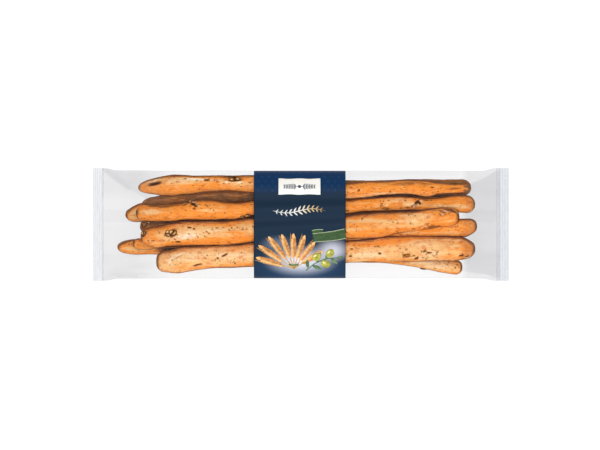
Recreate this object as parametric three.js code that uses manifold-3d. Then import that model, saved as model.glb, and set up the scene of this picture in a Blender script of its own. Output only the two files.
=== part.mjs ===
// A clear sealed flow pack of breadsticks with a printed band round its middle.
// Millimetres, +Z up. The pack lies flat with its printed side up: +X runs along the sticks,
// +Y across them, and the origin is on the surface it lies on, under the middle of the pack.
import * as THREE from 'three';
import { mergeVertices } from 'three/addons/utils/BufferGeometryUtils.js';
import Module from 'manifold-3d';

// ---- Driving dimensions ---------------------------------------------------------------

const PACK_LENGTH = 300;        // over the two cut ends
const PACK_HEIGHT = 29.5;       // of the film between the ridges that the top sticks raise
const BODY_HALF_WIDTH = 38.8;
const SEAL_HALF_WIDTH = 40.6;   // the film flares out where its sides are pressed flat
const FLARE_LENGTH = 9;

const SEAL_DEPTH = { left: 8.0, right: 9.5 };
const SEAL_THICKNESS = 0.8;
const SEAL_LEVEL = 12;          // height of the pressed seals above the table
const SEAL_OVERLAP = 1.2;       // how far the body runs into its seals
const ROOT_THICKNESS = 0.5;     // of the body there, so that the seals hold it between them
const CRIMP_PITCH = 1.3;
const CRIMP_DEPTH = 0.16;
const TOOTH_PITCH = 2.2;
const TOOTH_DEPTH = 0.5;

const WIDEST_SHARE = 0.45;      // of the height, where the body is widest
const SHOULDER_LENGTH = 31;     // from the seal up to the full height of the body
const SHOULDER_CURVE = 1.8;
const UNDERSIDE_LENGTH = 24;    // from the seal down to the table
const UNDERSIDE_DIP = 1.4;      // of the rounded section, cut flat where it meets the table
const BODY_SQUARENESS = 3.3;    // superellipse power of the section in the body
const END_SQUARENESS = 1.75;    // and where the hips run into the corners of the seals

// The four sticks of the top layer push the film up: their two ends as [x, y], how far the
// film rises over them and half the width of the rise.
const RIDGES = [
  { from: [-119, 28.0], to: [121, 24.5], rise: 1.6, reach: 7.0 },
  { from: [-121, 8.0], to: [125, 14.5], rise: 2.4, reach: 7.5 },
  { from: [-118, -9.0], to: [113, 4.5], rise: 2.6, reach: 8.5 },
  { from: [-106, -27.0], to: [125, -17.5], rise: 2.0, reach: 8.5 },
];
const RIDGE_FADE = 9;           // length over which a ridge dies out past its stick
const CREST_BAND = 0.55;        // share of the section's height below which no ridge shows

const BAND_CENTRE = -0.9;
const BAND_LENGTH = 65.8;
const BAND_THICKNESS = 0.35;
const BAND_INSET = 0.1;         // the band lies just inside the film's outer surface
const BAND_GAP = 0.3;

const TOP_SAMPLES = 40;
const UNDERSIDE_SAMPLES = 18;
const SHOULDER_RINGS = 11;
const BODY_RINGS = 8;           // from each shoulder to the band
const BAND_RINGS = 8;

// ---- The film's outer surface ---------------------------------------------------------

const clamp = THREE.MathUtils.clamp;
const lerp = THREE.MathUtils.lerp;
const smoothstep = THREE.MathUtils.smoothstep;

const leftSeal = -PACK_LENGTH / 2 + SEAL_DEPTH.left;
const rightSeal = PACK_LENGTH / 2 - SEAL_DEPTH.right;

function distanceFromSeal(x) {
  return Math.max(Math.min(x - leftSeal, rightSeal - x), 0);
}

// 0 at the seal and 1 where the film has climbed (or dropped) all the way.
function shoulder(x, length) {
  const way = clamp(distanceFromSeal(x) / length, 0, 1);
  return 1 - (1 - way) ** SHOULDER_CURVE;
}

function halfWidth(x) {
  const flare = 1 - smoothstep(distanceFromSeal(x), 0, FLARE_LENGTH);
  return lerp(BODY_HALF_WIDTH, SEAL_HALF_WIDTH, flare);
}

function ridgeHeight(x, y) {
  let height = 0;
  for (const { from, to, rise, reach } of RIDGES) {
    const along = (x - from[0]) / (to[0] - from[0]);
    const crest = lerp(from[1], to[1], clamp(along, 0, 1));
    const start = smoothstep(x, from[0] - RIDGE_FADE, from[0] + RIDGE_FADE);
    const end = 1 - smoothstep(x, to[0] - RIDGE_FADE, to[0] + RIDGE_FADE);
    height += rise * start * end * Math.exp(-2 * ((y - crest) / reach) ** 2);
  }
  return height;
}

// A point of the film's section at x. across runs from -1 to 1 over the width, side is 1 for
// the top and -1 for the underside, and inset shrinks the section evenly.
function filmPoint(x, across, side, inset) {
  const rise = shoulder(x, SHOULDER_LENGTH);
  const width = halfWidth(x) - inset;
  const y = width * across;
  const widest = lerp(SEAL_LEVEL, PACK_HEIGHT * WIDEST_SHARE, rise);
  const power = lerp(END_SQUARENESS, BODY_SQUARENESS, rise);
  const arch = Math.max(1 - Math.abs(across) ** power, 0) ** (1 / power);
  if (side > 0) {
    const crown = lerp(SEAL_LEVEL + ROOT_THICKNESS / 2, PACK_HEIGHT, rise) - inset;
    const ridge = ridgeHeight(x, y) * smoothstep(arch, CREST_BAND, 1);
    return new THREE.Vector3(x, y, widest + (crown - widest) * arch + ridge);
  }
  const drop = shoulder(x, UNDERSIDE_LENGTH);
  const keel = lerp(SEAL_LEVEL - ROOT_THICKNESS / 2, -UNDERSIDE_DIP, drop) + inset;
  return new THREE.Vector3(x, y, Math.max(widest + (keel - widest) * arch, inset));
}

// One closed ring of points round the section, anticlockwise as seen from +X.
function filmRing(x, inset = 0) {
  const ring = [];
  for (let i = 0; i < TOP_SAMPLES; i += 1) {
    const across = Math.cos((Math.PI * i) / TOP_SAMPLES);
    ring.push(filmPoint(x, across, 1, inset));
  }
  for (let i = 0; i < UNDERSIDE_SAMPLES; i += 1) {
    const across = -Math.cos((Math.PI * i) / UNDERSIDE_SAMPLES);
    ring.push(filmPoint(x, across, -1, inset));
  }
  return ring;
}

// ---- Mesh helpers ---------------------------------------------------------------------

function geometryFrom(points, triangles) {
  const geometry = new THREE.BufferGeometry();
  geometry.setFromPoints(points);
  geometry.setIndex(triangles);
  return geometry;
}

// Joins neighbouring rings with two triangles a cell; closed also joins the last to the first.
function skin(rings, closed) {
  const around = rings[0].length;
  const triangles = [];
  const last = closed ? rings.length : rings.length - 1;
  for (let i = 0; i < last; i += 1) {
    const here = i * around;
    const next = ((i + 1) % rings.length) * around;
    for (let j = 0; j < around; j += 1) {
      const k = (j + 1) % around;
      triangles.push(here + j, here + k, next + k);
      triangles.push(here + j, next + k, next + j);
    }
  }
  return triangles;
}

// Shuts one end of a loft with a fan of triangles round the middle of its ring. first is the
// index of the ring's first point, and outward is +1 at the +X end and -1 at the -X end.
function shutEnd(points, triangles, ring, first, outward) {
  const middle = points.length;
  const sum = ring.reduce((total, point) => total.add(point), new THREE.Vector3());
  points.push(sum.divideScalar(ring.length));
  for (let j = 0; j < ring.length; j += 1) {
    const here = first + j;
    const next = first + ((j + 1) % ring.length);
    triangles.push(middle, ...(outward > 0 ? [here, next] : [next, here]));
  }
}

function loft(rings) {
  const points = rings.flat();
  const triangles = skin(rings, false);
  const lastRing = rings.at(-1);
  const lastFirst = points.length - lastRing.length;
  shutEnd(points, triangles, rings[0], 0, -1);
  shutEnd(points, triangles, lastRing, lastFirst, 1);
  return geometryFrom(points, triangles);
}

const wasm = await Module();
wasm.setup();

function toManifold(geometry) {
  const bare = geometry.clone();
  bare.deleteAttribute('normal');
  bare.deleteAttribute('uv');
  const merged = mergeVertices(bare);
  return new wasm.Manifold(new wasm.Mesh({
    numProp: 3,
    vertProperties: new Float32Array(merged.attributes.position.array),
    triVerts: new Uint32Array(merged.index.array),
  }));
}

function toGeometry(solid) {
  const mesh = solid.getMesh();
  const geometry = new THREE.BufferGeometry();
  geometry.setAttribute('position', new THREE.BufferAttribute(mesh.vertProperties, 3));
  geometry.setIndex(new THREE.BufferAttribute(mesh.triVerts, 1));
  geometry.computeVertexNormals();
  return geometry;
}

// ---- The bag --------------------------------------------------------------------------

function evenly(from, to, steps) {
  return Array.from({ length: steps + 1 }, (_, i) => lerp(from, to, i / steps));
}

// The body of the bag, with a shallow seat for the band pressed into it all round.
function bagBody() {
  const seatStart = BAND_CENTRE - BAND_LENGTH / 2 - BAND_GAP;
  const seatEnd = BAND_CENTRE + BAND_LENGTH / 2 + BAND_GAP;
  const seatInset = BAND_INSET + BAND_THICKNESS + BAND_GAP;
  const leftShoulder = leftSeal + SHOULDER_LENGTH;
  const rightShoulder = rightSeal - SHOULDER_LENGTH;
  const rings = [
    filmRing(leftSeal - SEAL_OVERLAP),
    ...evenly(leftSeal, leftShoulder, SHOULDER_RINGS).map((x) => filmRing(x)),
    ...evenly(leftShoulder, seatStart, BODY_RINGS).slice(1).map((x) => filmRing(x)),
    ...evenly(seatStart, seatEnd, BAND_RINGS).map((x) => filmRing(x, seatInset)),
    ...evenly(seatEnd, rightShoulder, BODY_RINGS).map((x) => filmRing(x)),
    ...evenly(rightShoulder, rightSeal, SHOULDER_RINGS).slice(1).map((x) => filmRing(x)),
    filmRing(rightSeal + SEAL_OVERLAP),
  ];
  return loft(rings);
}

// One end seal: a flat strip pressed with fine crimps that run across the pack.
function sealStrip(inner, outer) {
  const depth = Math.abs(outer - inner);
  const away = Math.sign(outer - inner);
  const crimps = Math.round(depth / CRIMP_PITCH) * 2;
  const profile = [];
  for (let i = 0; i <= crimps; i += 1) {
    const lift = i % 2 === 0 ? 0 : CRIMP_DEPTH;
    profile.push(new THREE.Vector2((i / crimps) * depth, lift));
  }
  const upper = profile.map((p) => new THREE.Vector2(p.x, SEAL_LEVEL + SEAL_THICKNESS / 2 - p.y));
  const lower = profile.map((p) => new THREE.Vector2(p.x, SEAL_LEVEL - SEAL_THICKNESS / 2 - p.y));
  const shape = new THREE.Shape([...upper, ...lower.reverse()]);
  const strip = new THREE.ExtrudeGeometry(shape, {
    depth: SEAL_HALF_WIDTH * 2,
    bevelEnabled: false,
  });
  strip.rotateX(Math.PI / 2);
  strip.translate(0, SEAL_HALF_WIDTH, 0);
  if (away < 0) {
    strip.rotateZ(Math.PI);
  }
  strip.translate(inner, 0, 0);
  return strip;
}

// Everything between the two cut ends; both cuts are saw-toothed.
function cutter() {
  const teeth = Math.round((SEAL_HALF_WIDTH * 2) / TOOTH_PITCH);
  const end = PACK_LENGTH / 2;
  const outline = [];
  for (let i = -1; i <= teeth + 1; i += 1) {
    const y = lerp(-SEAL_HALF_WIDTH, SEAL_HALF_WIDTH, i / teeth);
    outline.push(new THREE.Vector2(end - TOOTH_DEPTH, y));
    outline.push(new THREE.Vector2(end, y + TOOTH_PITCH / 2));
  }
  const mirrored = outline.map((p) => new THREE.Vector2(-p.x, p.y)).reverse();
  const shape = new THREE.Shape([...outline, ...mirrored]);
  const block = new THREE.ExtrudeGeometry(shape, {
    depth: PACK_HEIGHT * 3,
    bevelEnabled: false,
  });
  block.translate(0, 0, -PACK_HEIGHT);
  return block;
}

function bagGeometry() {
  const leftStrip = sealStrip(leftSeal, -PACK_LENGTH / 2);
  const rightStrip = sealStrip(rightSeal, PACK_LENGTH / 2);
  const whole = toManifold(bagBody())
    .add(toManifold(leftStrip))
    .add(toManifold(rightStrip))
    .intersect(toManifold(cutter()));
  return toGeometry(whole);
}

// ---- The printed band -----------------------------------------------------------------

function bandGeometry() {
  const start = BAND_CENTRE - BAND_LENGTH / 2;
  const stations = evenly(start, start + BAND_LENGTH, BAND_RINGS);
  const outer = stations.map((x) => filmRing(x, BAND_INSET));
  const inner = stations.map((x) => filmRing(x, BAND_INSET + BAND_THICKNESS)).reverse();
  const rings = [...outer, ...inner];
  return geometryFrom(rings.flat(), skin(rings, true));
}

// ---- Assembly -------------------------------------------------------------------------

const clearFilm = new THREE.MeshStandardMaterial({
  color: 0xe6cdb0,
  roughness: 0.2,
  metalness: 0,
});
const navyPrint = new THREE.MeshStandardMaterial({
  color: 0x26364f,
  roughness: 0.4,
  metalness: 0,
});

function part(name, geometry, material) {
  const mesh = new THREE.Mesh(geometry, material);
  mesh.name = name;
  return mesh;
}

const group = new THREE.Group();
group.add(part('bag', bagGeometry(), clearFilm));
group.add(part('label_band', bandGeometry(), navyPrint));

export default group;
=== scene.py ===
"""Looks of a clear flow pack of olive breadsticks: film, end seals, sticks and printed band.

Lengths are in millimetres until they become a mesh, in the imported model's frame: +X along the
pack, +Y across it and +Z up through the printed side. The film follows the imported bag's shape.
"""

import bpy
import numpy as np
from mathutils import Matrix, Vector


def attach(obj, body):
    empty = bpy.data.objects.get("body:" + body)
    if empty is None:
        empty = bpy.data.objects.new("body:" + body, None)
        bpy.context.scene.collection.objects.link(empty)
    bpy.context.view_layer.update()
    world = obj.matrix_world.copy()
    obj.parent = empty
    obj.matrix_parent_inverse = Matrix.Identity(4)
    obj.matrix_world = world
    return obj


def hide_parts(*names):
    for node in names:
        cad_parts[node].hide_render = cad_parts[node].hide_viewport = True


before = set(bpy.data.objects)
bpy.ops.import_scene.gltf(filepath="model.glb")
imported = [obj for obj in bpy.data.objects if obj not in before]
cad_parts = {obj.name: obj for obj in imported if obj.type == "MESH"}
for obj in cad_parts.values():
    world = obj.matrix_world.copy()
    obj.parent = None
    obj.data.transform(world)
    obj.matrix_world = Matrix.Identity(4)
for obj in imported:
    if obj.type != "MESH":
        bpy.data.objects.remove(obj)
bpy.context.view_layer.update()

MM = 0.001

# ---- The film ----

PACK_LENGTH = 300.0
PACK_HEIGHT = 29.5  # of the film between the ridges that the top sticks raise
BODY_HALF_WIDTH = 38.8
SEAL_HALF_WIDTH = 40.6
FLARE_LENGTH = 9.0  # over which the body widens to its seals
SEAL_DEPTH = {"left": 8.0, "right": 9.5}
SEAL_LEVEL = 12.0  # height of the pressed seals
SEAL_OVERLAP = {"left": 1.2, "right": 2.8}  # of the film's end inside its seals
ROOT_THICKNESS = 0.3  # of the body where it runs into its seals
WIDEST_SHARE = 0.45  # of the pack's height, at which the section is widest
SHOULDER_LENGTH = 31.0  # over which the upper side climbs from the seals
SHOULDER_CURVE = 1.8  # power of that climb, which is steepest at the seals
UNDERSIDE_LENGTH = 24.0  # over which the underside drops from the seals
UNDERSIDE_DIP = 1.4  # how far it would sag below the table
UNDERSIDE_LIFT = 0.3  # the film rests on its fin seam, this far above the table
BODY_SQUARENESS = 3.3  # power of the section's rounded outline, along the body
END_SQUARENESS = 1.75  # and at the seals
RIDGE_FADE = 9.0  # half the length over which a ridge begins or ends
CREST_BAND = 0.55  # share of the section's arch above which a ridge shows

# The four top sticks lift the film: both ends as (x, y), the rise and half its width.
RIDGES = [
    {"start": (-119, 28.0), "end": (121, 24.5), "rise": 1.6, "reach": 7.0},
    {"start": (-121, 8.0), "end": (125, 14.5), "rise": 2.4, "reach": 7.5},
    {"start": (-118, -9.0), "end": (113, 4.5), "rise": 2.6, "reach": 8.5},
    {"start": (-106, -27.0), "end": (125, -17.5), "rise": 2.0, "reach": 8.5},
]

FILM_RINGS = 240
TOP_SAMPLES = 110  # points of a ring over the pack
UNDERSIDE_SAMPLES = 60  # and under it

# Fields of noise: the height (or amount), the size (x, y, z) of a feature and the seed.
PLEATS = (0.55, (26, 3.4, 9), 3)  # the small pleats that run out of the seals
WAVES = (0.3, (30, 13, 13), 5)  # the loose film's long soft waves
CLOUDS = [(0.12, (9, 12, 30), 8), (0.08, (30, 1.6, 30), 9)]  # of how dense it looks
PLEAT_LENGTH = 11.0  # over which the pleats die out
SEAL_GRIP = (0, 5)  # distances from a seal between which the film comes loose
BAND_GRIP = (0.5, 12)  # and from the band

# Folds of the loose film: how far each stands out, the distance over which it dies out to
# both sides, how much denser (or clearer, below 0) the film looks, and its line of (x, y).
FOLDS = [
    (0.9, 1.9, 0.27, [(-141.7, 39.5), (-133, 33.5), (-124.5, 26.3)]),
    (0.8, 3.2, 0.1, [(-141, -39.0), (-132, -34.0), (-110, -29.0)]),
    (0.9, 3.2, 0.0, [(139.5, 38.5), (132, 33.0), (122, 26.0)]),
    (0.8, 3.2, 0.0, [(139.5, -39.0), (131, -33.0), (118, -28.0)]),
    (0.12, 0.8, 0.12, [(-136, -35.9), (-124, -35.2), (-111, -36.2)]),
    (0.12, 0.8, 0.25, [(-132, -37.4), (-126, -36.9), (-118, -37.4)]),
    (0.12, 0.7, 0.3, [(130, -34.6), (135, -35.6), (141, -35.0)]),
    (0.12, 0.6, -0.2, [(131, -36.0), (136, -36.9), (141, -36.4)]),
    (0.0, 2.6, 0.18, [(33, 36.8), (75, 37.2), (112, 36.6)]),
]

# At each end the film is gathered, and looks denser, inside the hip lines. They run inward from
# the corners of the seal at a slope. Each pair of slopes and densities is for the upper and the
# lower half. The length is the distances between which the gathering fades out. Part of the
# densities is painted light: the right end's facets are painted denser than the left's, as
# painted shade on the end that faces away from the light, and on the left the upper strip beside
# the hip is painted darker than the end facet, which faces the light.
HIP_OFFSET = 2.0
HIP_SOFTNESS = 0.9
HIPS = {
    "left": {"slopes": (0.6, 0.15), "inside": (0.6, 0.64), "beside": (0.85, 0.66),
             "length": (20, 56)},
    "right": {"slopes": (0.4, 0.12), "inside": (1.0, 1.0), "beside": (0.63, 0.6),
              "length": (19, 27)},
}
BODY_DENSITY = 0.2
DENSEST = 1.3
MIDDLE_CLEARER = 0.15  # how much clearer the gathered film is along its middle
MIDDLE_REACH = (16, 25)  # distances from the middle line between which that ends

CRIMP_PITCH = 1.3
CRIMP_HEIGHT = 0.17
SEAL_THICKNESS = 0.3
SEAL_ROWS = 61  # of points over the depth of a seal
SWAY_HEIGHT = 0.25  # of a seal's slow wave along its cut edge
SWAY_TURN = 2.3  # radians of that wave from the middle to a corner
TOOTH_PITCH = 2.2
TOOTH_DEPTH = 0.35
TOOTH_SAMPLES = 4
TOOTH_START = 0.75  # share of a seal's depth from which its teeth are cut
UNPRESSED = 0.3  # how milky a seal is over the end of the film inside it
PRESS_EDGE = (-0.7, 0.2)  # where that ends, from the end of the film
LINE_DENSITY = (0.75, 0.45)  # of the pressed lines: their mean and their swing

FIN_WIDTH = 9.0  # of the seam that closes the film along its underside
FIN_SIDE = 6.0  # how far the folded seam's middle lies from the pack's middle
FIN_CRIMP = 0.03
FIN_THICKNESS = 0.12
FIN_GRID = (220, 38)  # points along the seam and across it

# ---- The printed band ----

BAND_CENTRE = -0.9
BAND_LENGTH = 65.8
BAND_START = BAND_CENTRE - BAND_LENGTH / 2
BAND_END = BAND_CENTRE + BAND_LENGTH / 2
BAND_THICKNESS = 0.35
BAND_INSET = 0.1  # of the band's outside from the film's plain shape
BAND_RINGS = 60
SEAT_INSET = 0.75  # of the film where it runs under the band
SEAT_FADE = 0.35  # over which it dips to that

GLOW_FADE = 5.0  # height above the seals over which the picture's glow sets in
BLUE_FROM, BLUE_TO = 20.5, 29.0  # where the navy turns bluer towards the upper edge
# The picture's soft glow: centre (x, y), how far it reaches in x and y, strength and colour.
GLOWS = [
    ((1, -32), (48, 20), 0.12, (60, 130, 205)),
    ((-17, -14.5), (15, 8), 0.22, (190, 204, 232)),
    ((0, -26), (30, 13), 0.8, (226, 228, 236)),
    ((22.5, -18.5), (15, 10), 0.72, (222, 222, 236)),
]

PRINT_STEP = 0.06  # each layer of the print stands this far over the one below
PRINT_SINK = 0.08  # and its root lies this far inside the band
PRINT_PITCH = 1.0  # between the points of a printed shape
TIP_SHARE = 0.05  # width that a printed shape keeps at its tips

PLATE = {"centre": (-1.1, 27.2), "size": (30.0, 11.4), "bow": 0.35, "waves": 2}
PLATE_SPRIG = {"reach": 10, "stalk": 0.35, "pairs": 5, "first": 2.6, "pitch": 1.9,
               "leaf": (2.9, 0.95), "shrink": 0.25, "lean": 0.9, "bud": 1.1}
FLOURISH = {"centre": (-1.2, 9.8), "length": 37.4, "samples": 60, "sway": 1.5, "width": 0.8,
            "taper": 0.7, "leaves": (3, 57, 5), "leaf": 4.4, "shrink": 0.55, "slim": 0.28,
            "lean": 0.85}
FOIL_TURNS = (-0.1, 0.3, 0.5)  # shares of its length, from its middle, where its colour turns

SHEAF_FOOT = (-5.0, -31.5)
EARS = [(164, 8, 15), (147, 10, 15), (129, 9, 15), (110, 8, 14.5), (91, 7, 14),
        (72, 7, 14), (52, 6.5, 14), (31, 6, 13)]  # angle, stalk and ear length
STALK_WIDTH = 0.7
STALK_RUN = 0.8  # share of the ear that its stalk runs through
TIE = [(-8.6, -28.6), (-5.2, -29.2), (-1.6, -28.6)]
TIE_WIDTH = 1.3
GRAIN_PITCH = 2.3
GRAIN_SIZE = np.array([4.4, 2.3])
GRAIN_SPREAD = 0.42
EAR_TAPER = 0.3  # how much smaller the grains are at both ends of an ear
AWN_LENGTH, AWN_WIDTH = 4.0, 0.35

TWIG = [(3.5, -33.0), (11.0, -27.5), (19.0, -24.5), (27.0, -24.0)]
TWIG_WIDTH = 0.7
LEAVES = [(95, 7), (-20, 7), (70, 8), (-35, 7.5), (60, 8), (-40, 6.5), (10, 5)]
LEAF_SLIM = 0.36
FRUIT = [(11.0, -23.2, 30), (17.6, -28.2, -20), (20.8, -20.6, 40)]
OLIVE_RADII = (3.4, 2.7)
SHINE_RADII = (1.3, 0.7)
SHINE_PLACE = (-0.9, 0.8)  # from the middle of an olive

# Each edge of the ribbon: how far inside the ribbon's side it runs, and its width.
RIBBON = {"line": [(8.6, -9.6), (16, -8.9), (24, -8.0), (31.9, -6.5)], "widths": (6.4, 7.4),
          "edge": (0.25, 0.45), "tab": [(7.9, -5.6), (12, -4.9), (15.8, -4.9)],
          "tab_width": 3.0, "tab_edge": (0.2, 0.4)}

ORNAMENT = {"rows": (24.5, 38.0, 3.2), "columns": (-30.5, 29.5, 5.0), "clear": 1.6,
            "size": 2.6, "slim": 0.8, "fullness": 1.6, "samples": 7}
BACK_PANEL = {"x": (-27.0, 25.0), "y": (-33.0, -3.0), "margin": 3, "rules": 9, "rule": 0.35}

# The light and dark tone of each ink, as a screen shows them.
INKS = {
    "cream": ((234, 232, 226), (229, 226, 218)),
    "ink": ((52, 62, 88), (40, 50, 74)),
    "straw": ((204, 160, 96), (180, 132, 74)),
    "wheat": ((228, 182, 124), (220, 160, 98)),
    "toast": ((204, 142, 82), (178, 114, 58)),
    "leaf": ((104, 132, 92), (58, 86, 62)),
    "olive": ((176, 172, 78), (134, 134, 52)),
    "shine": ((226, 224, 164), (204, 202, 128)),
    "ribbon": ((62, 86, 54), (50, 74, 44)),
    "edge": ((176, 186, 154), (152, 164, 130)),
    "ornament": ((20, 54, 88), (16, 49, 81)),
    "panel": ((236, 236, 232), (226, 227, 224)),
    "rule": ((70, 80, 104), (58, 68, 92)),
}

# ---- The sticks ----

FLATNESS = 0.88  # height of a stick's section as a share of its width
FILM_GAP = 0.35  # kept between a stick and the film
BAND_GAP = 0.95  # the same under the band

# Each stick runs between its ends in x. Its middle line and width are given at stations
# (x, y, width), its height at the left end, the middle and the right end, and the length of
# its rounded ends in radii. Each is dented by the sticks before it, which lie on it.
STICKS = {
    "a": {
        "ends": (-117.0, 122.3), "heights": (18.5, 21, 21), "caps": (2.4, 1.2), "bake": 0.58,
        "stations": [(-115, 26.6, 10.4), (-106.5, 27.3, 12.4), (-92.8, 28.2, 15.2),
                     (-83.4, 28.4, 13.9), (-72.7, 29.0, 12.5), (-51, 29.6, 11.6),
                     (-36.7, 29.1, 13.2), (-1, 26.5, 13), (35.2, 23.9, 10.6), (49.6, 25.3, 10.6),
                     (60.4, 26.1, 9.8), (82, 26.5, 10.4), (91.4, 25.5, 10.9), (97.1, 25.9, 8.4),
                     (107.2, 25.8, 6.4), (115.8, 26, 5.8)],
    },
    "b": {
        "ends": (-118.5, 125.2), "heights": (23, 23, 17.5), "caps": (1.2, 1.1), "bake": 0.75,
        "stations": [(-112.2, 8.4, 11.6), (-105, 8.0, 12.9), (-94.2, 8.4, 12.9),
                     (-83.4, 9.6, 13.4), (-72.7, 10.4, 14.4), (-61.9, 10.1, 13.8),
                     (-48.9, 9.9, 11.8), (-36.7, 11.4, 11.5), (-1, 11.5, 12.5),
                     (35.2, 12.9, 10.2), (46, 13.9, 9.4), (60.4, 14.9, 9.8), (71.2, 15.3, 10),
                     (82, 15.2, 8.8), (91.4, 14, 9.4), (100, 14.2, 11), (107.2, 14.7, 12),
                     (121, 14.7, 12.8)],
    },
    "c": {
        "ends": (-115.2, 113.7), "heights": (23.5, 22.5, 24), "caps": (1.1, 1.1), "bake": 0.5,
        "stations": [(-112.2, -8.5, 12.6), (-102.9, -8.8, 16.2), (-95.7, -7.6, 15.9),
                     (-87, -6.6, 16.7), (-72.7, -6.1, 17.3), (-51, -5.9, 17.8),
                     (-40.3, -4.6, 17.5), (-1, -3, 16.5), (35.2, -1.7, 17.4), (46, -1.0, 18.4),
                     (56.8, -0.4, 18.2), (71.2, 1.5, 15.4), (80.6, 2.6, 14.7), (89.2, 3.7, 14.9),
                     (100, 5, 13.9), (108, 5.4, 13.2)],
    },
    "d": {
        "ends": (-104, 125.2), "heights": (20, 20.5, 20.5), "caps": (0.9, 1.45), "bake": 0.38,
        "stations": [(-97.8, -26.4, 15), (-94.2, -26.2, 16.6), (-87, -25.6, 19.2),
                     (-79.9, -24.7, 18.4), (-72.7, -23.8, 17.6), (-61.9, -23.1, 17.0),
                     (-47.5, -22.8, 16.7), (-36.7, -21.8, 17.6), (-1, -21, 16),
                     (35.2, -19.4, 16.4), (53.2, -18.4, 17.2), (64, -17.6, 18.5),
                     (78.4, -17.5, 19.2), (92.8, -17.3, 18.8), (107.2, -16.9, 18.3),
                     (118, -17.0, 17.0), (122, -17.7, 16.0)],
    },
    # e and g carry the highest bake, which makes them dark brown all along; for g this is
    # painted shade, as it lies under b and c.
    "e": {
        "ends": (-114.5, 122.7), "heights": (13, 7, 7), "caps": (2.0, 1.2), "bake": 1.6,
        "stations": [(-112, 14.8, 8.4), (-103, 15.6, 9.6), (-94, 17, 11), (-73, 20.5, 12.5),
                     (-44, 21.5, 12.5), (-1, 26, 13), (35, 25.9, 12.2), (71, 26.1, 12.6),
                     (100, 25.9, 13.2), (107, 25.7, 13.6), (116, 26.6, 12.2)],
    },
    "f": {
        "ends": (-126.7, 108.5), "heights": (6.8, 6.6, 6.4), "caps": (1.7, 1.2), "bake": 0.5,
        "stations": [(-124, 6.9, 11.4), (-115.8, 8.3, 13.4), (-106, 8.5, 13), (-94, 8.5, 12),
                     (-35, 12, 12), (-1, 13.5, 12), (100, 15, 11.5)],
    },
    "g": {
        "ends": (-116.2, 111), "heights": (7.5, 9, 9), "caps": (1.2, 1.2), "bake": 1.5,
        "stations": [(-112, -1.5, 9.5), (-98, -2, 10), (-35, 1, 12), (-1, 3, 12), (100, 6, 10)],
    },
    "h": {
        "ends": (-121, 126.5), "heights": (15, 17, 20), "caps": (1.3, 1.35), "bake": 0.7,
        "stations": [(-109, -13.9, 7.9), (-73, -11, 10), (-35, -9, 11), (-1, -8.5, 12),
                     (35, -8.2, 12.0), (50, -6.8, 10.6), (60, -5.8, 9.8), (71, -5.3, 9.6),
                     (85, -4.8, 10), (100, -3.2, 12.8), (112, -2.6, 13.8), (118, -2.2, 13.2),
                     (123, -1.3, 12.2)],
    },
    "i": {
        "ends": (-132.5, 116.5), "heights": (6.6, 6.6, 6.4), "caps": (1.8, 1.0), "bake": 0.65,
        "stations": [(-128, -16.1, 10.2), (-119.4, -15.8, 11.4), (-108.6, -15.7, 11.2),
                     (-73, -18.5, 11.5), (-35, -21, 12), (32, -21.5, 12), (60, -22.5, 11.5),
                     (86, -25.9, 11), (100, -28.9, 11.4), (111, -31.0, 10.8)],
    },
}
TOP_STICKS = "abcd"
STICK_SEED = 100  # of the first stick's random marks
TOP_GRID = (92, 420)  # points round a top stick and rings between its rounded ends
LOWER_GRID = (64, 300)  # and the same for a lower one
CAP_SAMPLES = 26
CAP_START = 0.06  # of the quarter turn of a rounded end, in radians
CAP_POWER = 2.2

# Fields of noise of the crust's relief, as for the film.
LUMPS = (0.5, (21, 8, 8), 11)
DENTS = (0.26, (7, 4.5, 4.5), 12)
GRAINS = [(0.07, (1.3, 1.0, 1.0), 15), (0.05, 0.7, 16)]
CREASE_COURSE = (1.0, (19, 2.1, 2.1), 13)  # creases run where this field is near 0
CREASE_PLACES = (1.0, (24, 5, 5), 14)  # and only where this one is high
CREASED = (0.05, 0.5)  # how high
CREASE_DEPTH, CREASE_WIDTH = 0.3, 0.14
FIELD_SHIFT = 57.0  # between the sticks, so that no two have the same crust
RELIEF_FADE = (0.1, 0.6)  # shares of a stick's radius between which its relief sets in

TIP_BAKE = 0.17  # how much more the tips are baked
TIP_REACH = (0.5, 7)
# Painted highlight: the crust is painted paler along the top of each stick, where the overhead
# light would glare.
TOP_HIGHLIGHT = 0.2  # how much paler the crust is along the top of a stick
TOP_HIGHLIGHT_HEIGHTS = (0.6, 1.0)  # shares of a stick's half height between which that sets in

# Painted shade: share of dark brown painted on a stick's steep flanks towards +Y (heavier, as
# they face away from the front light) and -Y and on its tips, which draws dark outlines, with
# the slopes (as the sine of the angle from level) between which each sets in.
FAR_EDGE_SHADE, FAR_SLOPES = 1.0, (0.58, 1.0)
NEAR_EDGE_SHADE, NEAR_SLOPES = 0.9, (0.84, 1.0)
TIP_EDGE_SHADE, TIP_SLOPES = 0.95, (0.4, 0.9)
UNDERSIDE_EDGE = 0.66  # and the least share of brown on its underside
SIDE_BLEND = (-0.5, 0.5)

SIDE_GAP = 0.4  # further gap to the film at its sides
GAP_EASE = 2.0  # length over which the gap under the band opens to the film's
DEEPEST = 0.3  # share of a radius that a stick under another is measured from

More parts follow.
